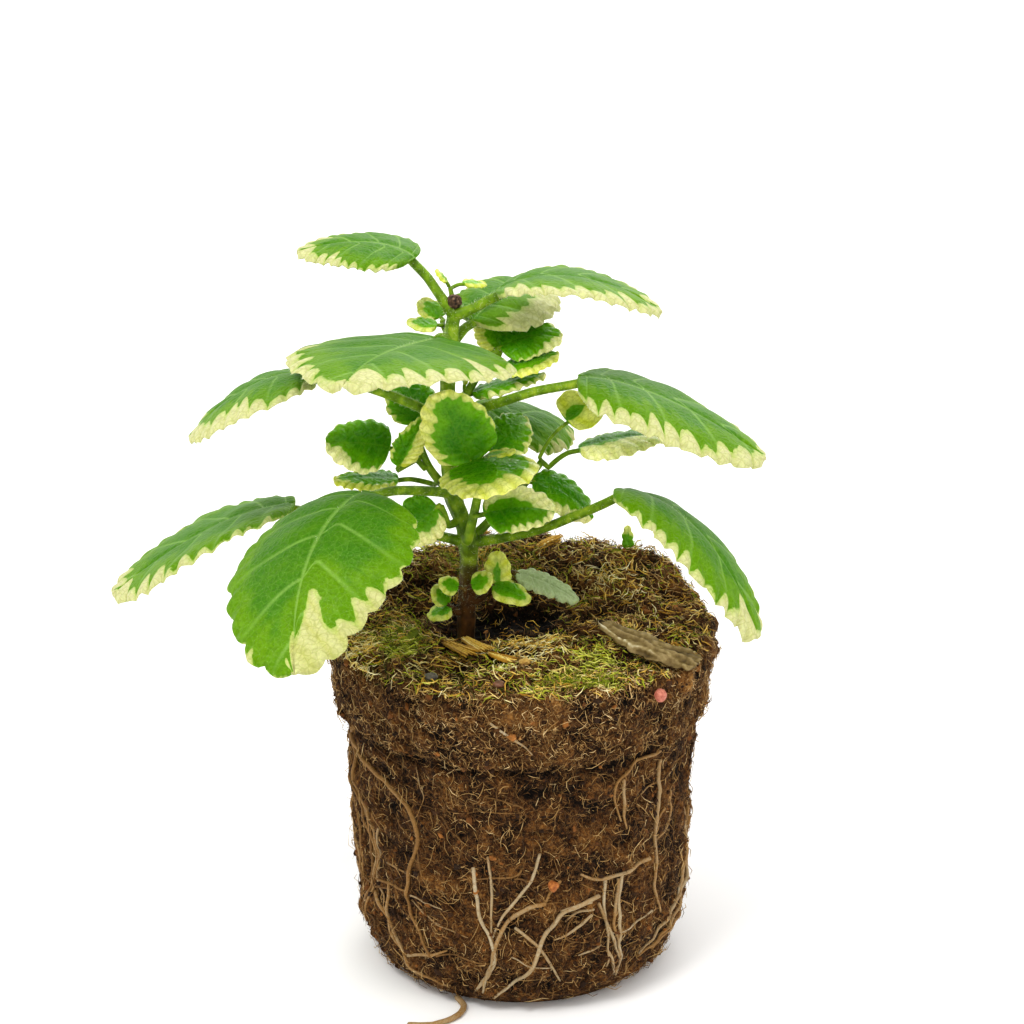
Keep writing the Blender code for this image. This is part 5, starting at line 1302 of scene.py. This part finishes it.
# Thinner roots beside them, traced too: radius in millimetres, tone from brown to pale, and the points
thinRoots = [
    (0.50, 0.50, [(-74, 0.060), (-85, 0.049), (-85, 0.040), (-85, 0.032), (-77, 0.027), (-81, 0.018),
                  (-81, 0.012), (-78, 0.008)]),
    (0.45, 0.42, [(-72, 0.060), (-85, 0.049), (-79, 0.044), (-69, 0.039), (-64, 0.033), (-64, 0.026),
                  (-64, 0.021), (-78, 0.009)]),
    (0.50, 0.55, [(-76, 0.055), (-72, 0.050), (-70, 0.044), (-63, 0.041), (-59, 0.037), (-59, 0.030),
                  (-61, 0.024), (-66, 0.015)]),
    (0.40, 0.38, [(-85, 0.054), (-85, 0.048), (-85, 0.041), (-77, 0.037), (-72, 0.033), (-70, 0.027),
                  (-73, 0.018), (-78, 0.011)]),
    (0.45, 0.60, [(-60, 0.022), (-53, 0.017), (-48, 0.011), (-47, 0.007), (-41, 0.004)]),
    (0.32, 0.50, [(-54, 0.039), (-57, 0.034), (-59, 0.027), (-55, 0.021), (-54, 0.016)]),
    (0.40, 0.62, [(-44, 0.010), (-34, 0.012), (-27, 0.014)]),
    (0.22, 0.60, [(-40, 0.026), (-33, 0.025), (-27, 0.025)]),
    (0.20, 0.55, [(-41, 0.024), (-34, 0.022), (-28, 0.021)]),
    (0.22, 0.55, [(-52, 0.031), (-43, 0.031), (-36, 0.031)]),
    (0.55, 0.62, [(75, 0.038), (82, 0.028), (79, 0.022), (72, 0.018), (63, 0.016), (53, 0.012),
                  (48, 0.009)]),
    (0.50, 0.55, [(85, 0.033), (85, 0.026), (85, 0.019), (85, 0.013), (72, 0.012), (61, 0.011),
                  (54, 0.009)]),
    (0.42, 0.72, [(85, 0.031), (75, 0.022), (71, 0.018), (66, 0.016)]),
    (0.28, 0.50, [(54, 0.044), (51, 0.041), (50, 0.038)]),
    (0.38, 0.72, [(34, 0.055), (35, 0.051), (35, 0.046), (36, 0.043)]),
    (0.42, 0.70, [(27, 0.026), (31, 0.020), (34, 0.015), (37, 0.009)]),
    (0.40, 0.66, [(34, 0.031), (34, 0.026), (33, 0.020), (36, 0.014), (36, 0.007)]),
    (0.35, 0.70, [(31, 0.014), (33, 0.011), (35, 0.007)]),
    (0.26, 0.68, [(50, 0.020), (39, 0.018), (31, 0.018)]),
    (0.30, 0.70, [(24, 0.027), (18, 0.027), (13, 0.026)]),
    (0.34, 0.68, [(25, 0.025), (19, 0.025), (15, 0.023)]),
    (0.34, 0.70, [(24, 0.024), (18, 0.021), (11, 0.019)]),
    (0.28, 0.66, [(28, 0.016), (24, 0.015), (20, 0.014)]),
    (0.50, 0.72, [(8, 0.028), (2, 0.027), (-5, 0.023), (-9, 0.017), (-11, 0.010), (-17, 0.005)]),
    (0.42, 0.68, [(-9, 0.014), (-12, 0.010), (-14, 0.005)]),
    (0.36, 0.50, [(13, 0.033), (10, 0.031), (8, 0.028)])]
rootLook = dict(
    bodyTop=39.2 * mm, step=0.7 * mm, lift=0.45, knotLength=2.2 * mm, rootlets=85, slim=0.62,
    backCount=6, backSpan=[106, 258], backRadius=0.8 * mm, sideRadius=0.6 * mm, tailRadius=0.7 * mm,
    tail=[(-0.0140, -0.0284, 0.0010), (-0.0125, -0.0325, 0.0008), (-0.0145, -0.0370, 0.0007),
          (-0.0190, -0.0400, 0.0007), (-0.0245, -0.0400, 0.0007)],
    plainTone=0.6, tones=dict(
        roots_left=0.50, roots_centre=0.72, roots_front=0.70, roots_right=0.74, roots_right_side=0.62,
        root_upper_right=0.62, root_low_right=0.55))


def layRoute(table):
    # The wall unrolled: a curve through the table's points, then read back onto the fine wall
    flat = np.array([(math.radians(angle) * rootLook["bodyTop"], height, 0.0) for angle, height in table])
    curve = smoothRoute(flat, rootLook["step"])
    points, normals = onWall(np.degrees(curve[:, 0] / rootLook["bodyTop"]), curve[:, 1])
    # The cord bridges the small dips
    for _ in range(3):
        points[1:-1] = (points[:-2] + 2 * points[1:-1] + points[2:]) / 4
        normals[1:-1] = (normals[:-2] + 2 * normals[1:-1] + normals[2:]) / 4
    return points, unit(normals)


def addRoot(bundle, route, radius, tone, random, sides=9, ends=(1.0, 0.92, 0.55)):
    radii = radius * np.interp(np.linspace(0, 1, len(route)), [0, 0.6, 1], ends)
    seed = random.uniform(0, 50)

    def knotty(count, turn):
        return 1 + 0.20 * roundNoise(count, turn, rootLook["step"] / rootLook["knotLength"], 0.6, 1.0, seed)

    points, faces = tubePart(route, radii, sides, relief=knotty)
    drift = 0.16 * noiseAt(points, 6 * mm, seed)
    addPart(bundle, points, faces, 0, shade=np.clip(tone + drift + random.normal(scale=0.05), 0, 1))


def makeSpray(name, table, seed):
    random = np.random.default_rng(500 + seed)
    bundle = newBundle()
    tone = rootLook["tones"].get(name, rootLook["plainTone"])
    for radius, stops in table:
        route, normals = layRoute(stops)
        radius = radius * rootLook["slim"]
        addRoot(bundle, route + normals * (radius * rootLook["lift"]), radius, tone, random)
    finishPiece(bundle, joinWords(name), name, [rootSkin])


def hiddenTables(k):
    # The back's roots, seen in no photograph: wandering down, each with one branch
    random = np.random.default_rng(4 + k)
    start = np.interp(k, [0, rootLook["backCount"] - 1], rootLook["backSpan"])
    heights = np.linspace(0.054, 0.006, 7)
    angles = start + np.cumsum(random.uniform(-4.2, 4.2, 7))
    turn = random.choice([-1, 1]) * 7
    main = list(zip(angles, heights))
    branch = [main[3], (main[3][0] + turn, main[3][1] - 0.008),
              (main[3][0] + turn * 1.5, main[3][1] - 0.017)]
    return [(rootLook["backRadius"], main), (rootLook["sideRadius"], branch)]


for number, (name, table) in enumerate(rootSprays.items()):
    makeSpray(name, table, number)
for k in range(rootLook["backCount"]):
    makeSpray("roots_back_%d" % (k + 1), hiddenTables(k), 20 + k)

bundle = newBundle()
random = np.random.default_rng(60)
addRoot(bundle, smoothRoute(rootLook["tail"], rootLook["step"]), rootLook["tailRadius"],
        rootLook["plainTone"], random, ends=(1.0, 0.9, 0.6))
finishPiece(bundle, "rootTail", "root_tail", [rootSkin])


def makeRootlets():
    # The traced thin roots, then rootlets matted over the wall, mostly running down
    random = np.random.default_rng(61)
    bundle = newBundle()
    for radius, tone, stops in thinRoots:
        route, normals = layRoute(stops)
        radius = radius * mm
        addRoot(bundle, route + normals * (radius * rootLook["lift"]), radius, tone, random, 7)
    for _ in range(rootLook["rootlets"]):
        angle, height = random.uniform(0, 360), random.uniform(0.010, 0.060)
        down = random.uniform(-0.35, 0.9)
        stops, turn = [(angle, height)], random.uniform(-1, 1) * 7
        for _ in range(int(random.integers(3, 7))):
            turn = 0.6 * turn + random.normal(scale=4.0)
            angle, height = angle + turn, height - down * 4.0 * mm + random.normal(scale=0.8) * mm
            stops.append((angle, float(np.clip(height, 0.004, 0.0605))))
        route, normals = layRoute(stops)
        radius = random.uniform(0.11, 0.26) * mm
        addRoot(bundle, route + normals * (radius * 0.6), radius, random.uniform(0.0, 0.65), random, 6)
    finishPiece(bundle, "wallRootlets", "root_ball", [rootSkin])


makeRootlets()
print("roots made,", sum(triangles), "triangles")


# Loose things: straw chips and a stick, a dead leaf, pebbles, moss cushions, a seedling and two feed grains
litter = dict(
    chips={"straw_chip_1": ((0.0135, 0.0016, 0.0007), -58, 6),
           "straw_chip_2": ((0.0110, 0.0012, 0.0006), -60, 4),
           "straw_chip_3": ((0.0090, 0.0011, 0.0006), -48, 5),
           "straw_stick": ((0.0070, 0.0015, 0.0013), 35, 10)},
    chipFibres=24, chipSteps=14, chipHairs=60, fibreRadius=(0.16 * mm, 0.26 * mm), stickFibre=1.3,
    deadLeaf=leafRow(-38, 0.0005, -4, -4, 0.0250, 0.0072, 8, 48, -14, 8, at=(0.0165, -0.0125, 0.0850),
                     ovate=-0.3),
    deadRows=70, deadColumns=31, deadHairs=70, deadHalf=0.22 * mm,
    seedling=leafRow(95, 0.0006, 84, 80, 0.0058, 0.0026, 15, 25, 0, 0, age=0.6,
                     cream=([(0, 0), (0.5, 0), (0.75, 1), (1, 1)], [(0, 0), (0.6, 0), (0.8, 1), (1, 1)])),
    seedlingPlace=(0.0245, 0.0290), seedlingSink=0.9 * mm,
    pebbleSides=28, pebbleRings=16,
    mossRings=16, mossTurns=56, mossStrands=620, mossThickness=1.2 * mm, mossSink=0.5 * mm,
    moss={"moss_left": ((-0.0275, -0.0080), (0.0100, 0.0150)),
          "moss_front": ((0.0120, -0.0325), (0.0110, 0.0055)),
          "moss_back": ((-0.0090, 0.0235), (0.0145, 0.0080))})


# Bark chip: golden inner bark split along its fibres, matt, darker in the splits
chipSkin = makeBitSkin("splitInnerBark", [(0.0, "#7a4f18"), (0.35, "#b5852a"), (0.65, "#d6ad48"),
                                          (0.9, "#e8cd7c"), (1.0, "#f2e2ac")], 0.55)
# Dead leaf: grey-brown and leathery, paler where the light catches its ridges
deadSkin = makeBitSkin("deadLeafSkin", [(0.0, "#33260f"), (0.35, "#6e5b33"), (0.65, "#9c895e"),
                                        (1.0, "#dad0b2")], 0.7, 1100.0, 0.25 * mm)


def makeChip(name, size, azimuth, slope, seed):
    # A chip is a sheaf of split fibres of uneven length
    random = np.random.default_rng(700 + seed)
    bundle = newBundle()
    low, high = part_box(name)
    middle = (np.array(low) + np.array(high)) / 2
    along = heading(azimuth, slope)
    side = unit(np.cross((0, 0, 1), along))
    up = np.cross(along, side)
    stick = name == "straw_stick"
    share = np.linspace(-1, 1, litter["chipSteps"])
    for _ in range(litter["chipFibres"]):
        # The fibres splay out towards one end
        reach = size[0] / 2 * random.uniform(0.7, 1.0)
        place = random.uniform(-0.5, 0.5)
        shift = side * place * size[1] * 1.3 + up * random.uniform(-0.4, 0.4) * size[2]
        splay = side * (0 if stick else place * size[1] * 1.1) * (share[:, None] + 1)
        steps = share[:, None] * reach
        bow = (share[:, None] ** 2) * up * random.uniform(-0.2, 0.25) * mm
        jitter = random.normal(scale=0.03 * mm, size=(len(share), 3))
        slip = random.uniform(-0.03, 0.03) * size[0]
        route = middle + shift + along * (steps + slip) + bow + jitter + splay
        radius = random.uniform(*litter["fibreRadius"]) * (litter["stickFibre"] if stick else 1.0)
        points, faces = tubePart(route, radius * np.interp(share, [-1, -0.7, 0.7, 1], [0.4, 1, 1, 0.3]), 6)
        addPart(bundle, points, faces, shade=random.uniform(0.2, 0.95))
    count = litter["chipHairs"]
    ends = middle + along * (random.uniform(-0.5, 0.5, count)[:, None] * size[0]) + side * (
        random.uniform(-0.5, 0.5, count)[:, None] * size[1])
    away = np.tile(along, (count, 1)) * random.choice([-1, 1], count)[:, None]
    away = away + random.normal(scale=0.4, size=(count, 3))
    away[:, 2] = np.abs(away[:, 2])
    addHairs(bundle, ends, unit(away), random.uniform(0.4, 1.4, count) * mm, 0.06 * mm, 0, random)
    finishPiece(bundle, joinWords(name), name, [strawSkin if stick else chipSkin])


def lowered(points, name):
    # The solid one was let down onto the soil: this one takes the same height
    low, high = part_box(name)
    return points + np.array([0, 0, (low[2] + high[2] - points[:, 2].min() - points[:, 2].max()) / 2])


def makeDeadLeaf():
    random = np.random.default_rng(720)
    leaf = litter["deadLeaf"]
    bundle = newBundle()
    rows, wide, count = litter["deadRows"], litter["deadColumns"], litter["deadHairs"]
    edgeX, edgeY, along, _, _ = marginCurve(leaf, 5, 0.02, rows)
    torn = noiseAt(np.stack([along * 9, along * 0, along * 0], axis=1), 0.6, 5.0)
    edgeX = edgeX * (1 + 0.22 * torn + 0.10 * np.roll(torn, 9))
    s = np.tile(np.linspace(-1, 1, wide), (rows, 1))
    x = s * edgeX[:, None]
    y = np.tile(edgeY[:, None], (1, wide))
    flat = np.stack([x, y, np.zeros_like(x)], axis=-1).reshape(-1, 3)
    # It has dried into creases, and its near edge has curled up into a ridge, painted pale as a highlight
    creased = flat * np.array([1.0, 0.22, 1.0])
    fold = (1 - 2.6 * np.abs(noiseAt(creased, 1.5 * mm, 3.0)) ** 0.7).reshape(rows, wide)
    fine = noiseAt(flat, 0.8 * mm, 6.0).reshape(rows, wide)
    ridge = np.exp(-((s - 0.62 - 0.1 * torn[:, None]) / 0.10) ** 2) * smooth((0.8 - along[:, None]) / 0.5)
    ridge = ridge * np.clip(0.7 + 0.5 * fine, 0, 1)
    wave = noiseAt(flat, 5 * mm, 8.0).reshape(rows, wide)
    lift = (0.55 * fold + 0.18 * fine + 0.8 * ridge + 0.5 * wave).ravel() * mm
    top, _ = bendLeaf(leaf, x.ravel(), y.ravel(), lift + litter["deadHalf"])
    bottom, _ = bendLeaf(leaf, x.ravel(), y.ravel(), lift - litter["deadHalf"])
    quad = gridFaces(rows, wide, False)
    loop = np.concatenate([np.arange(wide), wide * np.arange(2, rows) - 1, [rows * wide - 1],
                           (rows - 1) * wide + np.arange(wide - 2, -1, -1),
                           wide * np.arange(rows - 2, 0, -1)])
    after, under = np.roll(loop, -1), rows * wide
    rim = np.stack([loop, after, after + under, loop + under], axis=1)
    # Painted light: lighter on raised folds and much lighter on the ridge, painted highlights, darker in the
    # creases, painted shade; the underside takes 0.6 of it as painted shade
    tone = np.clip(0.36 + 0.24 * fold + 0.16 * fine + 0.6 * ridge, 0, 1).ravel()
    points = lowered(np.vstack([top, bottom]), "dead_leaf")
    addPart(bundle, points, [quad[:, ::-1], quad + under, rim], shade=np.concatenate([tone, tone * 0.6]))
    # Torn fibres stick out of its pale end
    ends = points[random.integers(0, wide * 4, count)]
    away = -heading(leaf["azimuth"], 0) + random.normal(scale=0.6, size=(count, 3))
    away[:, 2] = np.abs(away[:, 2])
    addHairs(bundle, ends, unit(away), random.uniform(0.3, 1.2, count) * mm, 0.07 * mm, 0, random)
    finishPiece(bundle, "crumpledDeadLeaf", "dead_leaf", [deadSkin])


def makePebble(name, skinName, dark, pale, gloss, seed, rough=0.10, speckle=900.0):
    # A stone or a baked grain that fills its solid's box: a fine sphere pulled a little out of true
    low, high = (np.array(corner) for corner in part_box(name))
    turn = np.linspace(0, 2 * np.pi, litter["pebbleSides"], endpoint=False)
    tilt = np.linspace(0, np.pi, litter["pebbleRings"])[1:-1]
    ring = [np.stack([np.cos(turn) * math.sin(t), np.sin(turn) * math.sin(t),
                      np.full(len(turn), math.cos(t))], axis=1) for t in tilt]
    points = np.vstack(ring + [np.array([[0, 0, 1.0], [0, 0, -1.0]])])
    points *= (1 - rough * 0.5 + rough * noiseAt(points, 0.9, seed))[:, None]
    points = points * (high - low) / 2 + (high + low) / 2
    # Its tone drifts with a few paler specks
    skin = makeSpeckledSkin(skinName, [(0.35, dark), (0.65, pale)], speckle, gloss)
    bundle = newBundle()
    addPart(bundle, points, closedFaces(len(tilt), len(turn), True))
    finishPiece(bundle, joinWords(name), name, [skin])


def makeMoss(name, centre, radii, seed):
    # A cushion of short upright strands over a low felted pad
    random = np.random.default_rng(740 + seed)
    bundle = newBundle()
    low, high = (np.array(corner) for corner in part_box(name))
    rings, turns = litter["mossRings"], litter["mossTurns"]
    thickness, sink = litter["mossThickness"], litter["mossSink"]
    share = np.linspace(0.0, 1.0, rings)[1:]
    turn = np.linspace(0, 2 * np.pi, turns, endpoint=False)
    x = centre[0] + radii[0] * share[:, None] * np.cos(turn)[None]
    y = centre[1] + radii[1] * share[:, None] * np.sin(turn)[None]
    base, normals = onTop(x.ravel(), y.ravel())
    ragged = 1 + 0.35 * noiseAt(base, 3.5 * mm, seed)
    thick = thickness * (1 - np.repeat(share, turns) ** 2) * ragged + 0.2 * mm * noiseAt(base, 1.2 * mm, seed)
    points = base + np.array([0, 0, 1.0]) * (thick * 0.7 - sink)[:, None]
    head = onTop([centre[0]], [centre[1]])[0] + np.array([[0, 0, thickness * 0.7 - sink]])
    faces = [gridFaces(rings - 1, turns, flip=True), fan(np.arange(turns), len(points))]
    addPart(bundle, np.vstack([points, head]), faces, shade=0.3)
    count = litter["mossStrands"]
    angle, reach = random.uniform(0, 2 * np.pi, count), np.sqrt(random.random(count)) * 0.97
    spots, normals = onTop(centre[0] + radii[0] * reach * np.cos(angle),
                           centre[1] + radii[1] * reach * np.sin(angle))
    spots[:, 2] += thickness * (1 - reach ** 2) * 0.6
    lengths = random.uniform(0.9, 2.6, count) * mm
    addFibres(bundle, spots, normals, lengths, random.uniform(0.05, 0.12, count) * mm,
              random.beta(2, 2, count), 0, random, solid=True, curl=0.9, lie=0.55)
    finishPiece(bundle, joinWords(name), name, [mossSkin])


for number, (name, values) in enumerate(litter["chips"].items()):
    makeChip(name, *values, number)
makeDeadLeaf()
# River stones, dull grey and a glossier brown, then a lump of baked tan grit and two porous feed grains
makePebble("pebble_grey", "greyPebble", "#3d382f", "#7a7263", 0.6, 1.0)
makePebble("pebble_brown", "brownPebble", "#3a2417", "#7a4f35", 0.45, 2.0)
makePebble("lump_tan", "tanLump", "#a37c33", "#d0ac63", 0.7, 3.0, 0.2)
makePebble("prill", "pinkFeedPrill", "#99503e", "#cc826c", 0.6, 4.0, 0.12, 1500.0)
makePebble("granule", "orangeGranule", "#7a3c10", "#b97634", 0.7, 5.0, 0.25, 1500.0)
for number, (name, (centre, radii)) in enumerate(litter["moss"].items()):
    makeMoss(name, centre, radii, number)

bundle = newBundle()
random = np.random.default_rng(760)
low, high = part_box("seedling")
seedling = dict(litter["seedling"], at=(*litter["seedlingPlace"], low[2] - litter["seedlingSink"]))
addBlade(bundle, seedling, "tiny", 77, random)
addStalk(bundle, seedling, "tiny", random)
finishPiece(bundle, "seedlingSprout", "seedling",
            [*leafSkins["youngLeafSkin"], stalkSkin, hairSkin])
print("loose things made,", sum(triangles), "triangles")


# Stage: a plain pale floor, soft light from above the camera's left, a fill and a back light
floorMaterial, floorPaint, _ = newMaterial("paleMattPaper")
feed(floorPaint, {"Base Color": stage["floorColour"], "Roughness": 0.9, "IOR": 1.3})
floorMesh = bpy.data.meshes.new("paperFloor")
half = stage["floorHalf"]
floorMesh.from_pydata([(-half, -half, 0), (half, -half, 0), (half, half, 0), (-half, half, 0)], [],
                      [(0, 1, 2, 3)])
floor = bpy.data.objects.new("paperFloor", floorMesh)
bpy.context.scene.collection.objects.link(floor)
floorMesh.materials.append(floorMaterial)

world = bpy.data.worlds.new("softSky")
bpy.context.scene.world = world
world.use_nodes = True
feed(world.node_tree.nodes["Background"], {"Color": stage["skyColour"], "Strength": stage["skyStrength"]})


def aim(thing, place, target):
    thing.location = place
    thing.rotation_euler = (Vector(target) - Vector(place)).to_track_quat("-Z", "Y").to_euler()


for name in ("key", "fill", "back"):
    lamp = bpy.data.lights.new(name + "Light", "AREA")
    lamp.shape = "DISK"
    lamp.size = stage[name + "Size"]
    lamp.energy = stage[name + "Power"]
    light = bpy.data.objects.new(name + "Light", lamp)
    bpy.context.scene.collection.objects.link(light)
    aim(light, stage[name + "Place"], stage["lampTarget"])

bpy.context.scene.view_settings.view_transform = stage["viewTransform"]  # the photograph's greens are strong
bpy.context.scene.view_settings.look = stage["viewLook"]
camera = bpy.data.objects.new("photoCamera", bpy.data.cameras.new("photoCamera"))
bpy.context.scene.collection.objects.link(camera)
bpy.context.scene.camera = camera
camera.data.lens = stage["lens"]
rise = math.radians(stage["elevation"])
away = Vector((0, -math.cos(rise), math.sin(rise))) * stage["distance"]
aim(camera, Vector(stage["target"]) + away, stage["target"])
print("stage set")
